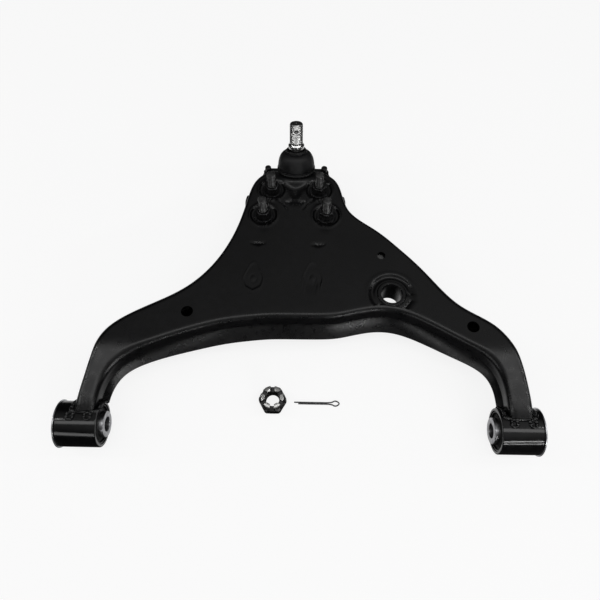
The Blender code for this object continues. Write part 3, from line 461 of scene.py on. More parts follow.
# %% Rubber and polymer
def rubber(name, tone, gloss, grain_mm, depth):
    """Matte rubber: bloom in soft patches, and a fine moulded grain."""
    mat, tree, shader, where = start(name, tone[0], gloss[0], Specular_IOR_Level=0.35)
    bloom = add(tree, "TexNoise", {"Vector": where, "Scale": per_mm(12), "Detail": 5.0}).outputs[0]
    grain = add(tree, "TexNoise", {"Vector": where, "Scale": per_mm(grain_mm),
                                   "Detail": 3.0}).outputs[0]
    patch = between(tree, bloom, 0.36, 0.66, 0.0, 1.0)
    tree.links.new(two_tone(tree, patch, *tone), shader.inputs["Base Color"])
    tree.links.new(between(tree, bloom, 0.3, 0.7, *gloss), shader.inputs["Roughness"])
    skin = add(tree, "Bump", {"Height": grain, "Strength": 1.0, "Distance": depth * MM})
    tree.links.new(skin.outputs[0], shader.inputs["Normal"])
    return mat


# The boot is smooth and waxy with a broad soft light. The bush rubber is dull, and the seat pale.
BOOT = rubber("moulded_boot_rubber", ("121213", "1c1c1d"), (0.44, 0.6), 1.0, 0.02)
BUSH = rubber("bonded_bush_rubber", ("0e0e0e", "161616"), (0.55, 0.75), 1.6, 0.06)
POLYMER = rubber("acetal_seat", ("cdc8b8", "dad6c8"), (0.35, 0.5), 2.0, 0.01)
print(f"{len(bpy.data.materials)} finishes")

# %% [markdown]
# ## The two pressings
#
# The arm's body is two steel sheets, each stamped in a press tool. The upper one is a shallow tray
# turned upside down: a plate with rolled edges and a short wall. The lower one sits inside it, and
# along the inner arch its wall flares out from under the upper one's lip.
#
# Both follow the same pair of edge curves. A parameter runs along the arm from one bush round the
# ball joint to the other, and at each station there is an inner and an outer edge point. Cubic
# splines join the stations, which keeps the curvature even, because a highlight shows every kink.
# The second parameter runs across: up the inner wall, round its bend, over the plate, round the
# outer bend and down the outer wall.

# %% Sizes of the pressings, millimetres
SHEET = 3.2
GAP = 0.3
PLATE_HEIGHT = 48.0
TAB_HEIGHT = 29.8
BOX_FLOOR, LEG_FLOOR = 6.0, -6.0
LEG_DROP_END, LEG_KNEE, LEG_DROP_START = 14.0, 46.0, 82.0
KNEE_HEIGHT, CREASE = 36.8, 6.0
BOX_ROLL, TIP_ROLL = 8.0, 5.0
BOX_LIP, TIP_LIP = 18.0, 6.5
TAPER_START, TAPER_END = 150.0, 232.0
ARCH_FLARE, LEG_FLARE = 11.0, 4.0
TIP_FLOOR = PLATE_HEIGHT - 2 * SHEET - GAP - 1.0
STATIONS = np.array((
    (-224.0, 6.0, -253.0, 6.0), (-221.5, 30.0, -249.0, 34.0), (-206.0, 57.0, -241.0, 70.0),
    (-170.0, 76.0, -226.0, 104.0), (-132.0, 88.0, -180.0, 136.0), (-98.0, 97.0, -136.0, 164.5),
    (-72.0, 101.8, -103.0, 206.0), (-53.0, 104.3, -84.0, 253.0), (-40.0, 105.6, -73.8, 299.0),
    (-33.0, 106.0, -64.5, 329.0), (-26.0, 106.2, -49.0, 343.5), (-12.0, 106.4, -12.0, 346.0),
    (4.0, 106.5, 24.0, 345.0), (14.0, 106.6, 44.0, 331.0), (24.0, 106.8, 53.0, 306.0),
    (38.0, 107.6, 62.5, 278.0), (56.0, 110.8, 92.0, 251.0), (84.0, 117.0, 121.0, 223.0),
    (112.0, 116.8, 152.0, 188.0), (146.0, 104.5, 190.0, 141.5), (184.0, 85.0, 229.0, 114.5),
    (216.0, 65.0, 252.0, 78.0), (228.5, 40.0, 260.5, 40.0), (230.5, 6.0, 262.5, 6.0)))
COLUMNS = np.repeat((9, 25, 9), (5, 13, 5))          # between stations: the head needs the most
PLATE_SHARES = np.concatenate([np.linspace(0, 0.2, 7)[1:-1], np.linspace(0.2, 0.5, 30)[:-1],
                               np.linspace(0.5, 1, 46)[:-1]])
print(f"{len(STATIONS)} stations, {COLUMNS.sum() + 1} columns along the arm")


# %% The edge curves
def spline(knots, values, at):
    """Natural cubic spline. Its second derivatives solve a three-banded system, and between two
    knots the curve is the straight line plus (a³ - a) and (b³ - b) times them, h²/6."""
    count, step = len(knots), np.diff(knots)
    k = np.arange(1, count - 1)
    matrix = np.eye(count)
    matrix[k, k - 1], matrix[k, k], matrix[k, k + 1] = step[:-1], 2 * (step[:-1] + step[1:]), step[1:]
    right = np.zeros_like(values)
    slopes = np.diff(values, axis=0) / step[:, None]
    right[1:-1] = 6 * np.diff(slopes, axis=0)
    bend = np.linalg.solve(matrix, right)
    k = np.clip(np.searchsorted(knots, at, side="right") - 1, 0, count - 2)
    h = step[k][:, None]
    a, b = (knots[k + 1] - at)[:, None] / h, (at - knots[k])[:, None] / h
    cubic = ((a**3 - a) * bend[k] + (b**3 - b) * bend[k + 1]) * h * h / 6
    return a * values[k] + b * values[k + 1] + cubic


inner_line, outer_line = STATIONS[:, :2], STATIONS[:, 2:]
chord = sum(0.5 * np.linalg.norm(np.diff(line, axis=0), axis=1) for line in (inner_line, outer_line))
KNOTS = np.concatenate([[0.0], np.cumsum(chord)])
column_of_knot = np.concatenate([[0], np.cumsum(COLUMNS)])
ALONG = np.interp(np.arange(column_of_knot[-1] + 1), column_of_knot, KNOTS)


def edge(values, side):
    """An edge curve and its unit normals, which point into the sheet."""
    line = spline(KNOTS, values, ALONG)
    run = spline(KNOTS, values, ALONG + 0.01) - spline(KNOTS, values, ALONG - 0.01)
    run /= np.linalg.norm(run, axis=1)[:, None]
    return line, np.stack([side * run[:, 1], -side * run[:, 0]], 1)


EDGES = (edge(inner_line, -1.0), edge(outer_line, 1.0))
share = ALONG / KNOTS[-1]
FLARE = mix(LEG_FLARE, ARCH_FLARE, smooth(1.6 * np.sin(np.pi * share) - 0.3))
print(f"{len(ALONG)} columns along an arm of {KNOTS[-1]:.0f} mm")

# %% [markdown]
# ### What the press tool leaves on the plate
#
# A press tool never makes a plain flat plate. Here it sets down the four bolt seats, sinks a ring
# round the link sleeve, draws a valley in front of the ball joint with a small pocket at its foot,
# and leaves four location marks. Each one is a height added to the plate as a function of x and
# y, made of smooth steps, so that its walls lean and its rims are round as stamped steel's are.

# %% Heights on the plate
BOLTS = [(row + "_" + side, JOINT_X + sign * half, y)
         for row, y, half in (("front", 311.0, 31.6), ("rear", 269.0, 41.0))
         for side, sign in (("left", -1), ("right", 1))]
LINK_X, LINK_Y = 109.4, 152.0
DISH_DEPTH, DISH_FLAT, DISH_RIM = 2.0, 15.4, 18.0


def plate_level(y):
    """Height of the plate: a leg rises from its tab in two flat facets, joined by soft creases."""
    places = (LEG_DROP_END, LEG_KNEE, LEG_DROP_START)
    heights = (TAB_HEIGHT, KNEE_HEIGHT, PLATE_HEIGHT)
    low, rise, high = (np.interp(y + off, places, heights) for off in (-CREASE, 0.0, CREASE))
    return 0.5 * rise + 0.25 * (low + high)


def closed_up(y):
    """0 where the box is open and 1 where both sheets lie together."""
    return smooth((y - TAPER_START) / (TAPER_END - TAPER_START))


def floor_level(y):
    """Underside of the lower pressing: low in the box, and up against the plate at the tip."""
    low = mix(LEG_FLOOR, BOX_FLOOR, smooth((y - LEG_DROP_END) / 56.0))
    return mix(low, TIP_FLOOR, closed_up(y))


def near_line(x, y, points):
    """Distance to a polyline, as the least distance to its segments."""
    best = np.full(np.shape(x), np.inf)
    for (ax, ay), (bx, by) in zip(points, points[1:]):
        dx, dy = bx - ax, by - ay
        t = np.clip(((x - ax) * dx + (y - ay) * dy) / (dx * dx + dy * dy), 0, 1)
        best = np.minimum(best, np.hypot(x - ax - t * dx, y - ay - t * dy))
    return best


def press_marks(x, y):
    """Height of the stamped details over the plate, all of it smooth steps of distances."""
    mid = x - JOINT_X
    height = np.zeros_like(x)
    # bolt seats: a flat disc sunk below the plate, with a leaning wall and a faint raised rim
    for _, bx, by in BOLTS:
        far = np.hypot(x - bx, y - by)
        height -= DISH_DEPTH * (1 - smooth((far - DISH_FLAT) / (DISH_RIM - DISH_FLAT)))
        height += 0.8 * np.exp(-((far - DISH_RIM - 0.6) / 1.5) ** 2)
    # ring round the link sleeve
    far = np.hypot(x - LINK_X, y - LINK_Y)
    height -= 2.8 * (1 - smooth((far - 23.5) / 5.0))
    height += 0.3 * np.exp(-((far - 29.5) / 2.4) ** 2)
    height += 1.9 * (1 - smooth((far - 19.6) / 3.0))
    # valley before the ball joint: wide at the boot's foot and narrow at its other end
    t = np.clip((y - 293.0) / 36.0, 0, 1)
    height -= 3.0 * smooth((y - 293.0) / 12.0) * (1 - smooth(np.abs(mid) / mix(4.0, 23.0, t)))
    # collar: the valley's head climbs to the slanting seat of the boot
    from_cup = np.hypot(mid, (y - 353.5) * math.cos(lean))
    climb = JOINT_Z + (JOINT_Y - y) * math.tan(lean) - 1.0 - PLATE_HEIGHT
    near = 1 - smooth((from_cup - 27.5) / 9.0)
    height = np.maximum(height, mix(height, np.clip(climb, 0, 4.4), near))
    # pocket at the valley's foot: steep on its far side and shallow on its near side
    lens = 1 - (mid / 15.0) ** 2
    top, foot = 291.5 + 2.0 * lens, 291.5 - 8.5 * lens
    t = np.clip((y - foot) / np.maximum(top - foot, 0.1), 0, 1)
    height -= np.where(lens > 0, 3.2 * t**1.4 * smooth((top + 0.8 - y) / 1.3), 0.0)
    # a soft fold sweeps from each rear seat towards the valley's foot
    for sign in (-1, 1):
        arc = [(sign * 37.0, 296.8), (sign * 29.0, 295.0), (sign * 20.3, 291.9),
               (sign * 14.5, 286.5), (sign * 10.0, 278.8)]
        off = near_line(mid, y, arc)
        height -= 1.2 * np.exp(-((off / 1.1) ** 2)) * smooth((y - 275.0) / 8.0)
        height += 0.4 * np.exp(-(((off - 2.8) / 1.4) ** 2)) * smooth((y - 275.0) / 8.0)
    # location marks: two keyhole shapes with a pointed foot, and two small nicks above them
    for kx, ky in ((-58.8, 171.7), (13.9, 173.0)):
        u, v = x - kx, y - ky
        wide = mix(12.0, 8.5, smooth((v + 4.0) / 20.0))
        inside = np.minimum(1 - (u / wide) ** 2 - ((v - 1.0) / 19.0) ** 2 * 0.9,
                            (v + 18.0 - 0.62 * np.abs(u)) / 9.0)
        height -= 0.75 * smooth(inside / 0.22) * mix(0.35, 1.0, smooth((6.0 - v) / 20.0))
        height += 0.25 * np.exp(-(((inside + 0.1) / 0.1) ** 2))
        swirl = np.hypot(u * 1.3, v + 1.0)
        height += 0.4 * np.exp(-((swirl / 3.4) ** 2)) - 0.3 * np.exp(-(((swirl - 5.4) / 1.2) ** 2))
    for kx, ky in ((-55.9, 223.7), (20.3, 222.5)):
        u, v = x - kx, y - ky
        fold = 1 - np.abs(u / 10.5) ** 1.5
        t = np.clip((v + 5.5 * fold) / np.maximum(5.5 * fold, 0.1), 0, 1)
        height -= np.where(fold > 0, 1.7 * np.sqrt(np.maximum(fold, 0)) * t
                           * smooth((1.8 - v) / 1.8), 0.0)
    return height


seat_middle = press_marks(*(np.array([v]) for v in BOLTS[0][1:]))[0]
print(f"a bolt seat lies {-seat_middle:.2f} mm below the plate")


# %% [markdown]
# ### From rows to closed sheets
#
# Each sheet is two skins a sheet's thickness apart, on the same grid, joined round their four
# edges. Both skins share the centres of the bends, so the wall keeps its thickness there.

# %% The skins of the upper and the lower pressing
BEND = np.radians(np.linspace(0, 90, 9))


def beside_edge(line, normal, rows):
    """Rows beside an edge: point = edge + inset · normal, at its height."""
    return [np.column_stack([line + normal * inset[:, None], level]) for inset, level in rows]


def over_plate(first, last, level):
    """Rows across, straight from the inner bend's last row to the outer bend's first."""
    flats = [mix(first[:, :2], last[:, :2], t) for t in PLATE_SHARES]
    return [np.column_stack([flat, level(flat[:, 0], flat[:, 1])]) for flat in flats]


def upper_skin(thick):
    """Grid of the upper pressing: wall, bend, plate, bend, wall. thick is 0 outside and the
    sheet's thickness inside."""
    def level(x, y):
        """Height of this skin over the arm's frame."""
        return plate_level(y) + press_marks(x, y) - thick

    sides = []
    for (line, normal), inset in zip(EDGES, (FLARE, 0 * FLARE)):
        tip = closed_up(line[:, 1])
        roll, lip = mix(BOX_ROLL, TIP_ROLL, tip), mix(BOX_LIP, TIP_LIP, tip)
        rows = [(inset + thick, -lip), (inset + thick, -mix(lip, roll, 0.5))]
        rows += [(inset + roll - (roll - thick) * math.cos(a),
                  -roll + (roll - thick) * math.sin(a)) for a in BEND]
        points = beside_edge(line, normal, rows)
        for row in points:
            row[:, 2] += plate_level(row[:, 1])
        points[-1][:, 2] = level(*points[-1][:, :2].T)
        sides.append(points)
    first, last = sides[0], sides[1][::-1]
    return np.array(first + over_plate(first[-1], last[0], level) + last)


def lower_skin(thick):
    """Grid of the lower pressing: wall inside the lip, flared wall, bend, floor, and back up."""
    def level(x, y):
        """Height of this skin over the arm's frame."""
        return floor_level(y) + thick

    sides = []
    for (line, normal), inset in zip(EDGES, (FLARE, 0 * FLARE)):
        tip = closed_up(line[:, 1])
        wall = inset + mix(SHEET + GAP, TIP_ROLL + 0.6, tip)
        foot = np.where(inset > 0, 0.0, wall)
        plate = plate_level(line[:, 1] + normal[:, 1] * inset)
        floor = floor_level(line[:, 1])
        roll = mix(6.0, 0.6, tip)
        bend = np.maximum(roll - thick, 0.3)
        foot_top = floor + thick + bend
        top = plate - mix(BOX_ROLL + 0.5, SHEET + 2 * GAP, tip)
        knee = np.maximum(plate - mix(BOX_LIP, TIP_LIP, tip) - 0.6, foot_top + 0.1)
        rows = [(wall + thick, top), (wall + thick, knee)]
        # the flare leaves the upper lip in a soft S and runs straight down to the foot's bend
        for t in np.linspace(0.12, 1.0, 9):
            rows.append((mix(wall, foot, t**1.5) + thick, mix(knee, foot_top, t)))
        rows += [(foot + thick + bend * (1 - math.cos(a)), floor + thick + bend * (1 - math.sin(a)))
                 for a in BEND[1:]]
        points = beside_edge(line, normal, rows)
        points[-1][:, 2] = level(*points[-1][:, :2].T)
        sides.append(points)
    first, last = sides[0], sides[1][::-1]
    return np.array(first + over_plate(first[-1], last[0], level) + last)


def sheet(name, outside, inside):
    """Two skins and the four strips that join their edges, as one closed mesh."""
    rows, columns = outside.shape[:2]
    index = np.arange(rows * columns).reshape(rows, columns)
    loop = np.concatenate([index[0], index[1:, -1], index[-1, -2::-1], index[-2:0:-1, 0]])
    other = loop + rows * columns
    strip = np.stack([loop, np.roll(loop, -1), np.roll(other, -1), other], -1)
    faces = [grid_faces(rows, columns), grid_faces(rows, columns, start=rows * columns)[:, ::-1],
             strip]
    return mesh_of(name, np.concatenate([outside.reshape(-1, 3), inside.reshape(-1, 3)]),
                   np.concatenate(faces), weld=1e-5)


upper_mesh = sheet("upper", upper_skin(0.0), upper_skin(SHEET))
lower_mesh = sheet("lower", lower_skin(0.0), lower_skin(SHEET))
print(f"upper sheet {len(upper_mesh.vertices)} points, lower sheet {len(lower_mesh.vertices)}")

# %% [markdown]
# ### Holes and cut-outs
#
# Punched holes, the round ends that fit the bush tubes, and the notch for the ball joint are cut
# with solids, as a tool would. The solids are lathed, so one cut gives clean edges everywhere.

# %% Cutting the pressings
TUBE_RADIUS = 26.0
BUSH_X = 248.0
HOUSING_RADIUS = 25.0
BOLT_RADIUS = 6.0
LUG_X, LUG_Y, LUG_RADIUS = 38.8, 351.0, 4.2


def drill(radius, low, high, matrix=Matrix(), sides=72):
    """A cylinder along Z, moved by a matrix."""
    made = lathe("drill", [(0, high), (radius, high), (radius, low), (0, low)], sides)
    made.transform(matrix)
    return made


def moved(x, y, z=0.0):
    """The matrix of a move by x, y, z."""
    return Matrix.Translation((x, y, z))


ACROSS = Matrix.Rotation(math.pi / 2, 4, "Y")
JOINT_IN_ARM = ARM.inverted() @ JOINT
shared = [drill(TUBE_RADIUS + GAP, -40, 40, moved(sign * (BUSH_X - 8), 0) @ ACROSS, 160)
          for sign in (-1, 1)]
shared += [drill(HOUSING_RADIUS + 1.6, -60, 45, JOINT_IN_ARM, 128)]
shared += [drill(LUG_RADIUS + 0.6, 20, 80, moved(JOINT_X + sign * LUG_X, LUG_Y))
           for sign in (-1, 1)]
link_hole = drill(17.8, -20, 80, moved(LINK_X, LINK_Y), 96)
holes = [(-134.4, 123.3, 7.1), (201.7, 108.8, 7.2), (99.7, 206.9, 5.3)]
for tool in shared:
    lower_mesh = cut(lower_mesh, tool.copy())
    upper_mesh = cut(upper_mesh, tool)
lower_mesh = cut(lower_mesh, link_hole.copy())
upper_mesh = cut(upper_mesh, link_hole)
for x, y, radius in holes:
    upper_mesh = cut(upper_mesh, drill(radius, 36, 60, moved(x, y)))
for _, x, y in BOLTS:
    upper_mesh = cut(upper_mesh, drill(BOLT_RADIUS + GAP, 20, 70, moved(x, y)))
    lower_mesh = cut(lower_mesh, drill(BOLT_RADIUS + GAP, 20, 70, moved(x, y)))
piece("upper_pressing", upper_mesh, ARM, "arm", "upper_shell", PRESSING, 40)
piece("lower_pressing", lower_mesh, ARM, "arm", "lower_shell", LOWER, 40)

# %% [markdown]
# ## The link sleeve
#
# A short thick-walled sleeve is welded into the right leg, and its flange stands in a sunken ring
# of the plate. It takes the foot of the damper link. It is a lathe shape with soft corners.

# %% Link sleeve
link_low = 14.0
link_profile = [(17.4, 48.6), (17.4, link_low), (12.9, link_low), (12.9, 48.6)]
piece("link_seat_sleeve", lathe("link", eased(link_profile, (1.6, 0.8, 0.8, 1.0), 6, closed=True),
                                128),
      beside(ARM, LINK_X, LINK_Y), "arm", "link_sleeve", LINK)

# %% [markdown]
# ## Bushes and their tubes
#
# Each bush is a sandwich: a bright core that bolts to the car, rubber bonded round it, and a thin
# outer sleeve with a turned rim, all pressed into a tube that is welded to the arm. Every part is
# a loop spun round the bush's axis. Because the core twists in the rubber, it rides on its own
# body.

# %% Bush parts on both sides
HALF = 23.0
for side, sign in (("left", -1), ("right", 1)):
    # local +Z points outboard
    here = beside(ARM, sign * BUSH_X, 0, 0, sign * 90, "Y")
    tube = eased([(26.0, HALF), (26.0, -HALF), (22.8, -HALF), (22.8, HALF)],
                 (0.8, 1.1, 0.5, 0.5), 6, closed=True)
    piece(f"tube_{side}", lathe("tube", tube, 160), here, "arm",
          f"bush_tube_{side}", TUBE)
    sleeve = eased([(27.4, 24.9), (27.4, 23.3), (22.5, 23.3), (22.5, -HALF + 1), (20.9, -HALF + 1),
                    (20.9, 24.9)], (0.7, 0.5, 0.2, 0.6, 0.6, 2.2), 6, closed=True)
    piece(f"outer_sleeve_{side}", lathe("sleeve", sleeve, 160), here, "arm",
          f"bush_sleeve_{side}", FLANGE)
    # the rubber rises to the core in a shallow cone, with a moulded groove near its rim
    face = [(20.6, 20.2), (19.4, 19.0), (18.2, 18.6), (17.0, 20.2), (15.9, 21.6), (15.3, 22.2)]
    back = [(r, -h) for r, h in face[::-1]]
    rubber_mesh = lathe("rubber", eased(face + back, 0.9, 4, closed=True), 128)
    piece(f"bush_rubber_ring_{side}", rubber_mesh, here, "arm",
          f"bush_rubber_{side}", BUSH)
    core = eased([(15.0, 28.0), (15.0, -28.0), (8.25, -28.0), (8.25, 28.0)],
                 (0.9, 0.9, 1.0, 1.0), 5, closed=True)
    piece(f"bush_core_piece_{side}", lathe("core", core, 128), here, f"bush_core_{side}",
          f"bush_inner_{side}", CORE)

# %% [markdown]
# ## Weld beads
#
# The ends of both pressings lie on the tubes like tabs and are welded all round. A bead is a row
# of frozen ripples, so its radius swells and shrinks every couple of millimetres along its path.
# At the two corners of each tab the welder started and stopped, which leaves a round blob. The
# path runs along the tab's edge on the tube's surface: sideways position x, and an angle up the
# tube, which together give y = R cos a and z = R sin a.


# %% Beads round the tabs
def weld_path(left, right, low, corner):
    """A path up one side of the tab, across its end and down the other side, on the tube."""
    turns = [(left, low), (left, corner), (mix(left, right, 0.5), corner + 3.0), (right, corner),
             (right, low)]
    flat = eased(turns, (0, 9.0, 20.0, 9.0, 0), 24)
    step = np.concatenate([[0], np.cumsum(np.linalg.norm(np.diff(flat, axis=0), axis=1))])
    at = np.linspace(0, step[-1], 240)
    x, angle = (np.interp(at, step, flat[:, k]) for k in (0, 1))
    turn = np.radians(angle)
    radius = TUBE_RADIUS + 0.4
    return at, np.stack([x, radius * np.cos(turn), radius * np.sin(turn)], 1)


seed = np.random.default_rng(7)
for side, left, right in (("left", -255.2, -223.0), ("right", 229.5, 264.6)):
    at, path = weld_path(left, right, 6.0, 74.0)
    ripple = 1 + 0.12 * np.sin(at * 2 * math.pi / 2.3 + seed.uniform(0, 6)) + 0.05 * np.sin(at * 0.9)
    mid = (left + right) / 2
    blobs = sum(np.exp(-(((path[:, 0] - spot) / 3.0) ** 2) - ((path[:, 1] - 9.0) / 5.0) ** 2)
                for spot in (left + 3.0, right - 3.0))
    ends = smooth(at / 6.0) * smooth((at[-1] - at) / 6.0)
    size = (2.1 * ripple + 1.6 * blobs) * mix(0.3, 1.0, ends)
    bead = sweep("bead", path, size, 16, up=np.stack([0 * at, path[:, 1], path[:, 2]], 1), squeeze=0.7)
    piece(f"weld_bead_{side}", bead, ARM, "arm", None, WELD, 60)

# %% Loops at the corners of the tabs
for side, spots in (("left", (-254.5, -235.0)), ("right", (238.6, 259.4))):
    loops = []
    for x0 in spots:
        around = np.linspace(0, 2 * math.pi, 73)[:-1]
        up = math.radians(88.0)
        out = np.array([0.0, math.cos(up), math.sin(up)])
        along_tube = np.array([0.0, -math.sin(up), math.cos(up)])
        middle = np.array([x0, 0, 0]) + out * (TUBE_RADIUS + 0.3)
        path = (middle + 3.6 * np.cos(around)[:, None] * (1, 0, 0)
                + 4.2 * np.sin(around)[:, None] * along_tube)
        bead_size = 1.75 * (1 + 0.14 * np.sin(around * 7) + 0.1 * np.sin(around * 3 + x0))
        loops.append(sweep("loop", path, bead_size, 14, up=out, wrap=True))
    for number, loop in enumerate(loops):
        piece(f"weld_loop_{side}_{number}", loop, ARM, "arm", None, WELD, 60)

# %% [markdown]
# ## Ball joint housing
#
# The housing is a forging bolted under the tip: a scalloped flange, a cup that leans with the stud,
# and two short locating lugs. The flange is its outline carried round a rounded edge: each row is
# the outline moved inwards along its normal, at its own height. The cup and the lugs are joined to
# it, and then the bore and the bolt holes are cut.

# %% Housing
flange_top = TIP_FLOOR - GAP
flange_low = flange_top - 9.0


def arc(x, y, radius, first, last, steps=24):
    """Points on a circle between two angles in degrees."""
    angle = np.radians(np.linspace(first, last, steps))
    return np.stack([x + radius * np.cos(angle), y + radius * np.sin(angle)], 1)


half_line = np.concatenate([
    arc(41.0, 269.0, 17.0, -90, -10, 8),
    [(62.5, 279.0), (67.0, 287.0), (67.6, 298.0), (66.0, 307.5), (60.8, 309.3), (60.6, 316.0),
     (59.2, 321.5), (53.8, 323.4)], arc(LUG_X, LUG_Y, 6.5, -20, 90, 8)])
other_half = half_line[::-1] * (-1, 1)
outline = np.concatenate([half_line, other_half, [(0.0, 264.0)]]) + (JOINT_X, 0)
outline = eased(outline, 2.2, 4, closed=True)
run = np.roll(outline, -1, 0) - np.roll(outline, 1, 0)
run /= np.linalg.norm(run, axis=1)[:, None]
inward = np.stack([-run[:, 1], run[:, 0]], 1)
centre = np.array([[JOINT_X, 305.0]])
EDGE_ROUND = 1.6


def flange_row(inset, level, share=1.0):
    """The outline moved inwards by inset, then drawn to the middle as share goes from 1 to 0."""
    flat = mix(centre, outline + inward * inset, share)
    return np.column_stack([flat, np.full(len(outline), level)])


turns = np.radians(np.linspace(90, 15, 6))
top_edge = [(EDGE_ROUND * (1 - math.cos(a)), flange_top - EDGE_ROUND * (1 - math.sin(a))) for a in turns]
low_edge = [(inset, flange_low + flange_top - level) for inset, level in top_edge[::-1]]
rows = [flange_row(1.5, flange_top, share) for share in (0.0, 0.5, 1.0)]
rows += [flange_row(inset, level) for inset, level in
         [*top_edge, (0.0, (flange_low + flange_top) / 2), *low_edge]]
rows += [flange_row(1.8, flange_low, share) for share in (1.0, 0.5, 0.0)]
grid = np.array(rows)
housing_mesh = mesh_of("housing", grid, grid_faces(*grid.shape[:2], False, True), weld=0.01)
cup = lathe("cup", eased([(0, 14.0), (25.0, 14.0), (25.0, -22.0), (0, -22.0)],
                         (0, 1.0, 1.6, 0), 5), 128)
cup.transform(JOINT_IN_ARM)
housing_mesh = cut(housing_mesh, cup, "UNION")
for sign in (-1, 1):
    lug = lathe("lug", eased([(0, 48.5), (4.2, 48.5), (4.2, 33.0), (0, 33.0)], (0, 2.2, 0, 0), 6), 48)
    lug.transform(moved(JOINT_X + sign * LUG_X, LUG_Y))
    housing_mesh = cut(housing_mesh, lug, "UNION")
bore = lathe("bore", [(0, 21.2), (20.5, 21.2), (13.5, 6.8), (18.3, 6.8), (18.3, -18.4),
                      (20.7, -18.4), (20.7, -32.0), (0, -32.0)], 96)
bore.transform(JOINT_IN_ARM)
housing_mesh = cut(housing_mesh, bore)
for _, x, y in BOLTS:
    housing_mesh = cut(housing_mesh, drill(BOLT_RADIUS + GAP, 0, 70, moved(x, y)))
piece("housing_forging", housing_mesh, ARM, "arm", "ball_joint_housing", FORGING, 30)

# %% [markdown]
# ## Inside the housing
#
# The ball runs in a polymer seat, and a cover plate closes the cup from below. Both are simple
# lathe shapes, seen only from underneath or when the joint is taken apart.

# %% Seat and cover
BALL_RADIUS = 13.5
opening = 6.2
seat_angle = np.linspace(math.acos(opening / (BALL_RADIUS + GAP)), math.radians(150), 24)
seat_arc = (BALL_RADIUS + GAP) * np.stack([np.sin(seat_angle), np.cos(seat_angle)], 1)
seat_profile = np.concatenate([[(18.0, opening), (18.0, -17.5), (seat_arc[-1, 0], -17.5)],
                               seat_arc[::-1]])
piece("polymer_seat", lathe("seat", seat_profile, 96), JOINT, "arm",
      "bearing_seat", POLYMER)
cover_profile = eased([(0, -18.7), (20.4, -18.7), (20.4, -21.4), (15.0, -22.0), (0, -22.0)],
                      (0, 0.4, 0.8, 3.0, 0), 5)
piece("housing_cover", lathe("cover", cover_profile, 96), JOINT, "arm", "cover_plate",
      FORGING)

# %% [markdown]
# ## Ball stud
#
# Ball, neck, collar and thread are one turned piece. The thread is a real helix: the radius loses
# a zigzag of height less the turn's angle. The cross hole for the split pin is drilled last.

# %% Stud
THREAD, COLLAR, NECK = 8.8, 10.9, 7.0
stud_top, collar_top = 80.0, 50.0
ball_arc = np.linspace(math.acos(NECK / BALL_RADIUS), math.radians(-62), 30)
upper_stud = eased([(0, stud_top - 0.9), (1.6, stud_top), (THREAD - 1.2, stud_top),
                    (THREAD, stud_top - 1.4), (THREAD, collar_top + 2.5), (COLLAR, collar_top),
                    (COLLAR, collar_top - 3.0), (NECK + 1.4, collar_top - 12.0), (NECK, 20.0)],
                   (0, 0.8, 0.5, 0.4, 1.0, 0.8, 3.0, 5.0, 2.0), 5)
ball_points = BALL_RADIUS * np.stack([np.cos(ball_arc), np.sin(ball_arc)], 1)
stud_profile = np.concatenate([upper_stud, ball_points, [(0, ball_points[-1, 1])]])
stud_mesh = lathe("stud", stud_profile, 96, thread=(collar_top + 3, stud_top - 0.6, 1.5, 0.55))
stud_mesh = cut(stud_mesh, drill(2.6, -20, 20, beside(Matrix(), 0, 0, 71.5, 90, "X"), 40))
piece("ball_stud_piece", stud_mesh, JOINT, "stud", "ball_stud", STUD)

# %% [markdown]
# ## Dust boot
#
# The boot is a thin rubber dome clamped at its base and round the stud's neck. It has to bend when
# the stud swings, and the swing has two crossed hinges. Here the dome is cut into two rings low
# down, where the stud's neck keeps clear of both: a skirt and a crown. Neither ring is tied to a
# body, so both stay where they are drawn when the stud swings. To hide the cut, the whole dome is
# spun first, and both rings keep the shading directions of the whole.

# %% Boot in two rings
base = SEAT_TO_BALL + GAP
boot_top = base + 29.0
WALL = 2.4
dome_turn = np.linspace(0, math.pi / 2, 33)
dome_line = np.stack([14.0 + 11.0 * np.cos(dome_turn) ** 0.85,
                      base + 4.6 + 20.4 * np.sin(dome_turn)], 1)
foot_line = [(19.5, base), (25.7, base), (26.2, base + 0.5), (26.1, base + 1.4), (24.9, base + 2.0),
             (24.4, base + 2.8), (24.5, base + 3.8)]
neck_line = [(13.6, base + 25.4), (13.3, base + 26.0), (13.4, base + 26.6), (13.9, base + 27.2),
             (13.9, base + 28.1), (13.3, base + 28.8), (12.0, boot_top), (10.9, boot_top - 0.3),
             (10.3, boot_top - 1.4), (9.8, boot_top - 5.0)]
inner_dome = dome_line[::-1] - (WALL, 1.2)
boot_profile = np.concatenate([foot_line, dome_line, neck_line, inner_dome, [(21.0, base + 2.0)]])
CUT_AT = 10                                          # the same turn on the outer and inner dome
split = len(foot_line) + CUT_AT
back_split = len(foot_line) + len(dome_line) + len(neck_line) + (len(dome_line) - 1 - CUT_AT)
SIDES = 144
turn = np.arange(SIDES) * 2 * math.pi / SIDES
spin_grid = np.stack([np.outer(boot_profile[:, 0], np.cos(turn)),
                      np.outer(boot_profile[:, 0], np.sin(turn)),
                      np.repeat(boot_profile[:, 1:], SIDES, 1)], -1)
whole = mesh_of("whole", spin_grid, grid_faces(len(boot_profile), SIDES, True, True), weld=1e-6)
shade = np.array([v.normal for v in whole.vertices]).reshape(len(boot_profile), SIDES, 3)
skirt_rows = np.r_[0:split + 1, back_split:len(boot_profile)]
crown_rows = np.r_[split:back_split + 1]
rings = []
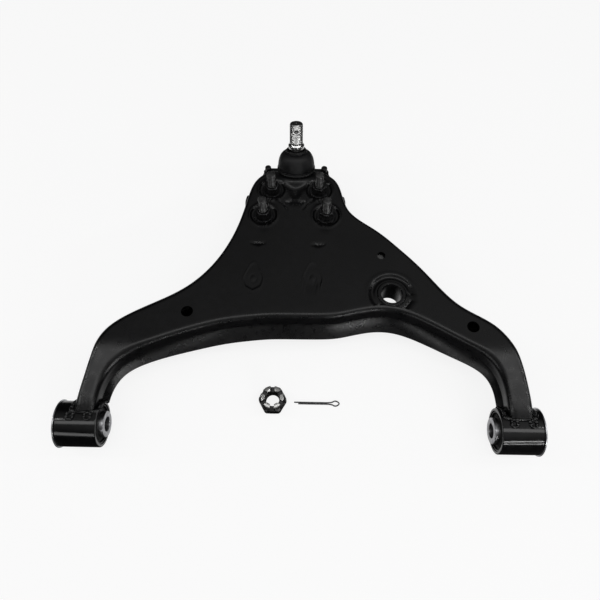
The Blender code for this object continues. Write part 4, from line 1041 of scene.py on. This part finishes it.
for name, rows in (("boot_skirt", skirt_rows), ("boot_crown", crown_rows)):
    half_mesh = mesh_of(name, spin_grid[rows], grid_faces(len(rows), SIDES, True, True), weld=1e-6)
    ring = piece(name, half_mesh, JOINT, None, "dust_boot", BOOT, 180)
    world_shade = shade[rows].reshape(-1, 3) @ np.array(JOINT.to_3x3()).T
    ring.data.normals_split_custom_set_from_vertices(world_shade.tolist())
    rings.append(ring)
skirt, crown = rings


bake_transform(skirt)
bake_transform(crown)

# %% [markdown]
# ### Boot rings
#
# A flat wire ring holds the base, and a round garter ring squeezes the neck.

# %% Rings
clamp = eased([(25.9, base + 3.9), (25.9, base + 2.3), (24.6, base + 2.3), (24.6, base + 3.9)],
              0.6, 5, closed=True)
piece("lower_boot_ring", lathe("ring", clamp, 128), JOINT, "arm", "boot_ring_lower",
      SPRING)
around = np.radians(np.linspace(0, 360, 25)[:-1])
garter = np.stack([13.9 + 0.7 * np.cos(around), base + 26.1 + 0.7 * np.sin(around)], 1)
piece("upper_boot_ring", lathe("garter", garter[::-1], 96), JOINT, "boot_top",
      "boot_ring_upper", SPRING)

# %% [markdown]
# ## Bolts, washers and nuts
#
# Four M12 bolts come up through the flange and both sheets. A bolt's thread has a 1.75 mm pitch,
# and its depth is about six tenths of that. The nut is a lathe shape limited to a hexagon: where
# the chamfer cone is wider than the hexagon the flats win, which draws the curved edges that
# every real nut has.

# %% Fasteners
HEX = 18.0
PITCH = 1.75
washer_low = PLATE_HEIGHT - DISH_DEPTH + GAP
nut_low = washer_low + 2.0 + GAP
BOLT_TOP = 79.0
head_top = flange_low - GAP
wide = HEX / math.sqrt(3)
hex_limit = hexagon(HEX, 144)
nut_profile = [(6.2, nut_low), (wide - 1.0, nut_low), (wide, nut_low + 0.6),
               (wide, nut_low + 8.6), (wide - 0.6, nut_low + 9.2), (wide - 1.3, nut_low + 9.75),
               (wide - 1.7, nut_low + 10.0), (7.0, nut_low + 10.0), (6.25, nut_low + 9.3)]
washer_profile = eased([(13.0, washer_low + 2.0), (13.0, washer_low), (6.4, washer_low),
                        (6.4, washer_low + 2.0)], (0.7, 0.4, 0.3, 0.3), 5, closed=True)
head_profile = [(0, head_top - 7.5), (wide - 1.7, head_top - 7.5), (wide - 0.7, head_top - 7.1),
                (wide, head_top - 6.5), (wide, head_top - 0.4), (wide - 0.4, head_top), (0, head_top)]
shank_profile = [(0, BOLT_TOP), (3.4, BOLT_TOP), (BOLT_RADIUS - 1.0, BOLT_TOP - 0.15),
                 (BOLT_RADIUS - 0.05, BOLT_TOP - 1.2), (BOLT_RADIUS - 0.05, head_top - 0.6),
                 (0, head_top - 0.6)]
for k, (name, x, y) in enumerate(BOLTS):
    spun = beside(ARM, x, y, 0, (12, 47, 3, 26)[k])
    shank = lathe("shank", shank_profile, 64, thread=(nut_low + 4, BOLT_TOP - 0.8, PITCH, 0.75))
    head = lathe("head", head_profile, 144, limit=hex_limit)
    piece(f"bolt_piece_{name}", cut(head, shank, "UNION"), spun, "arm",
          f"bolt_{name}", BOLT)
    piece(f"washer_piece_{name}", lathe("washer", washer_profile, 96), spun, "arm",
          f"washer_{name}", WASHER)
    piece(f"nut_piece_{name}", lathe("nut", nut_profile, 144, limit=hex_limit), spun, "arm",
          f"nut_{name}", NUT)

# %% [markdown]
# ## Castle nut and split pin
#
# The castle nut screws onto the stud and is locked by the split pin through two of its six slots.
# The slots are milled across, so three bars cut all six. The pin is one length of half-round wire
# folded into an eye, with one leg longer than the other.

# %% Castle nut
nut_box = np.array([list(c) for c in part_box("castle_nut")]) / MM
nut_middle, tall = nut_box.mean(0), nut_box[1, 2] - nut_box[0, 2]
slot_low = tall - 8.5
corner = 29.0 / math.sqrt(3)
castle_profile = [(8.1, 0.6), (8.9, 0.0), (corner - 1.9, 0.0), (corner - 0.9, 0.5), (corner, 1.3),
                  (corner, slot_low - 2.2), (corner - 0.7, slot_low - 0.8),
                  (corner - 1.9, slot_low + 0.8),
                  (14.3, tall - 5.0), (13.9, tall - 1.6), (13.2, tall - 0.5), (12.2, tall),
                  (9.4, tall), (8.3, tall - 1.1)]
castle_mesh = lathe("castle", castle_profile, 144, limit=hexagon(29.0, 144, 0.6),
                    thread=(0.6, tall - 1.1, 1.5, -0.5))
for slot_turn in (30, 90, 150):
    box = np.array([(x, y, z) for x in (-30, 30) for y in (-2.5, 2.5)
                    for z in (slot_low, tall + 10)], float)
    quads = np.array([(0, 1, 3, 2), (4, 6, 7, 5), (0, 4, 5, 1), (2, 3, 7, 6), (0, 2, 6, 4),
                      (1, 5, 7, 3)])
    bar = mesh_of("bar", box, quads)
    bar.transform(Matrix.Rotation(math.radians(slot_turn), 4, "Z"))
    castle_mesh = cut(castle_mesh, bar)
piece("castle_nut_piece", castle_mesh, Matrix.Translation((nut_middle[0], nut_middle[1], 0)),
      "castle_nut", "castle_nut", CASTLE, 30)

# %% Split pin
pin_box = np.array([list(c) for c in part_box("split_pin")]) / MM
long = pin_box[1, 0] - pin_box[0, 0]
wire = 0.85
eye_turn = np.radians(np.linspace(150, -150, 48))
eye_x = 4.4 * np.cos(eye_turn)
eye_y = 3.1 * np.sin(eye_turn) * mix(1.0, 0.72, smooth(np.cos(eye_turn)))
eye = np.stack([long - wire - 4.4 + eye_x, eye_y], 1)
root = long - 14.0
legs_top = np.stack([np.linspace(0.0, root, 40), np.full(40, wire + 0.02)], 1)
legs_low = np.stack([np.linspace(root, 5.0, 40), np.full(40, -wire - 0.02)], 1)
flat = np.concatenate([legs_top, eye, legs_low])
step = np.concatenate([[0], np.cumsum(np.linalg.norm(np.diff(flat, axis=0), axis=1))])
at = np.linspace(0, step[-1], 300)
flat = np.stack([np.interp(at, step, flat[:, k]) for k in (0, 1)], 1)
kernel = np.hanning(13)[1:-1] / np.hanning(13).sum()
soft = np.stack([np.convolve(np.pad(flat[:, k], 5, "edge"), kernel, "valid") for k in (0, 1)], 1)
pin_path = np.column_stack([soft, np.full(len(soft), wire + 0.05)])
piece("split_pin_piece", sweep("pin", pin_path, wire, 16),
      Matrix.Translation((pin_box[0, 0], pin_box[:, 1].mean(), 0)), "split_pin",
      "split_pin", WIRE, 60)

# %% [markdown]
# ## Floor, light and camera
#
# The arm lies on a plain white table that glows a little, which keeps its shadow faint. A black
# satin part shows only what it mirrors, so the rest of the light is arranged for its reflections.
# The room is pale high overhead, a little more so to the right, and dark at eye level, which
# blackens every slope that faces away. Steep reflections, such as those of the bright steel, find
# a pale table at the sides and behind. A broad card at the left draws one soft band on the left
# tube, and two thin strips draw crisp lines on the right one.

# %% Floor
floor_mesh = bpy.data.meshes.new("floor")
floor_mesh.from_pydata([(-6, -6, 0), (6, -6, 0), (6, 6, 0), (-6, 6, 0)], [], [(0, 1, 2, 3)])
floor = bpy.data.objects.new("floor", floor_mesh)
bpy.context.scene.collection.objects.link(floor)
white, tree, shader, where = start("white_table", "7c7c7c", 0.9, Specular_IOR_Level=0.0)
shader.inputs["Emission Color"].default_value = (1.0, 1.0, 1.0, 1.0)
shader.inputs["Emission Strength"].default_value = 0.84
floor_mesh.materials.append(white)
floor.visible_glossy = False                         # the coat mirrors the room and not the table
print("floor glows at", shader.inputs["Emission Strength"].default_value)

# %% Light
bpy.context.scene.view_settings.view_transform = "Standard"
world = bpy.data.worlds.new("studio")
bpy.context.scene.world = world
world.use_nodes = True
tree = world.node_tree
heading = add(tree, "SeparateXYZ", {0: add(tree, "TexCoord").outputs["Generated"]}).outputs
overhead = between(tree, heading[2], 0.5, 0.84, 0.02, 0.36)
to_right = between(tree, heading[0], -0.35, 0.35, 0.6, 1.15)
ceiling = add(tree, "Math", {0: overhead, 1: to_right}, operation="MULTIPLY").outputs[0]
aside = add(tree, "Math", {0: heading[0]}, operation="ABSOLUTE").outputs[0]
sides = between(tree, aside, 0.45, 0.62, 0.0, 0.8)
behind = between(tree, heading[1], -0.1, 0.2, 0.0, 0.8)
cards = add(tree, "Math", {0: sides, 1: behind}, operation="MAXIMUM").outputs[0]
steep = between(tree, heading[2], -0.35, -0.55, 0.0, 1.0)
below = add(tree, "Math", {0: cards, 1: steep}, operation="MULTIPLY").outputs[0]
bright = add(tree, "Math", {0: ceiling, 1: below}, operation="ADD").outputs[0]
# seen straight, the room is as pale as the table
straight = add(tree, "LightPath").outputs["Is Camera Ray"]
shown = add(tree, "Mix", {0: straight, 2: bright, 3: 0.93}).outputs[0]
tree.links.new(shown, tree.nodes["Background"].inputs["Strength"])
tree.nodes["Background"].inputs["Color"].default_value = (1.0, 1.0, 1.0, 1.0)


def soft_box(name, place, target, size, power):
    """A rectangular lamp in metres that faces a target."""
    lamp = bpy.data.lights.new(name, "AREA")
    lamp.shape, lamp.size, lamp.size_y, lamp.energy = "RECTANGLE", *size, power
    obj = bpy.data.objects.new(name, lamp)
    bpy.context.scene.collection.objects.link(obj)
    obj.location = place
    obj.rotation_euler = (Vector(target) - Vector(place)).to_track_quat("-Z", "Y").to_euler()
    return obj


soft_box("top_box", (0.0, -0.55, 3.0), (0, 0, 0), (4.4, 0.8), 22)
soft_box("left_card", (-0.85, -1.5, 0.6), (0, 0, 0), (0.9, 0.34), 2.2)
soft_box("right_strip_high", (0.85, -1.5, 0.74), (0, 0, 0), (1.0, 0.04), 3.5)
soft_box("right_strip_low", (0.85, -1.6, 0.42), (0, 0, 0), (1.0, 0.03), 2.5)
soft_box("left_strip", (-1.6, 0.1, 1.1), (0, 0, 0), (0.06, 1.6), 4)
soft_box("right_strip", (1.6, 0.1, 1.1), (0, 0, 0), (0.06, 1.6), 4)
print(len(bpy.data.lights), "lamps and a room")

# %% Camera
ELEVATION, YAW = math.radians(60.5), math.radians(-1.05)
cam_data = bpy.data.cameras.new("camera")
cam_data.lens, cam_data.sensor_width = 33.6, 36.0
camera = bpy.data.objects.new("camera", cam_data)
bpy.context.scene.collection.objects.link(camera)
right = Vector((math.cos(YAW), -math.sin(YAW), 0.0))
forward = Vector((math.cos(ELEVATION) * math.sin(YAW), math.cos(ELEVATION) * math.cos(YAW),
                  -math.sin(ELEVATION)))
above = right.cross(forward)
turned = Matrix((right, above, -forward)).transposed().to_4x4()
camera.matrix_world = Matrix.Scale(MM, 4) @ ARM @ Matrix.Translation((5.118, -188.876, 631.085))
spot = camera.matrix_world.translation.copy()
camera.matrix_world = Matrix.Translation(spot) @ ARM.to_3x3().to_4x4() @ turned
bpy.context.scene.camera = camera
print("camera at", [round(v, 4) for v in camera.matrix_world.translation])
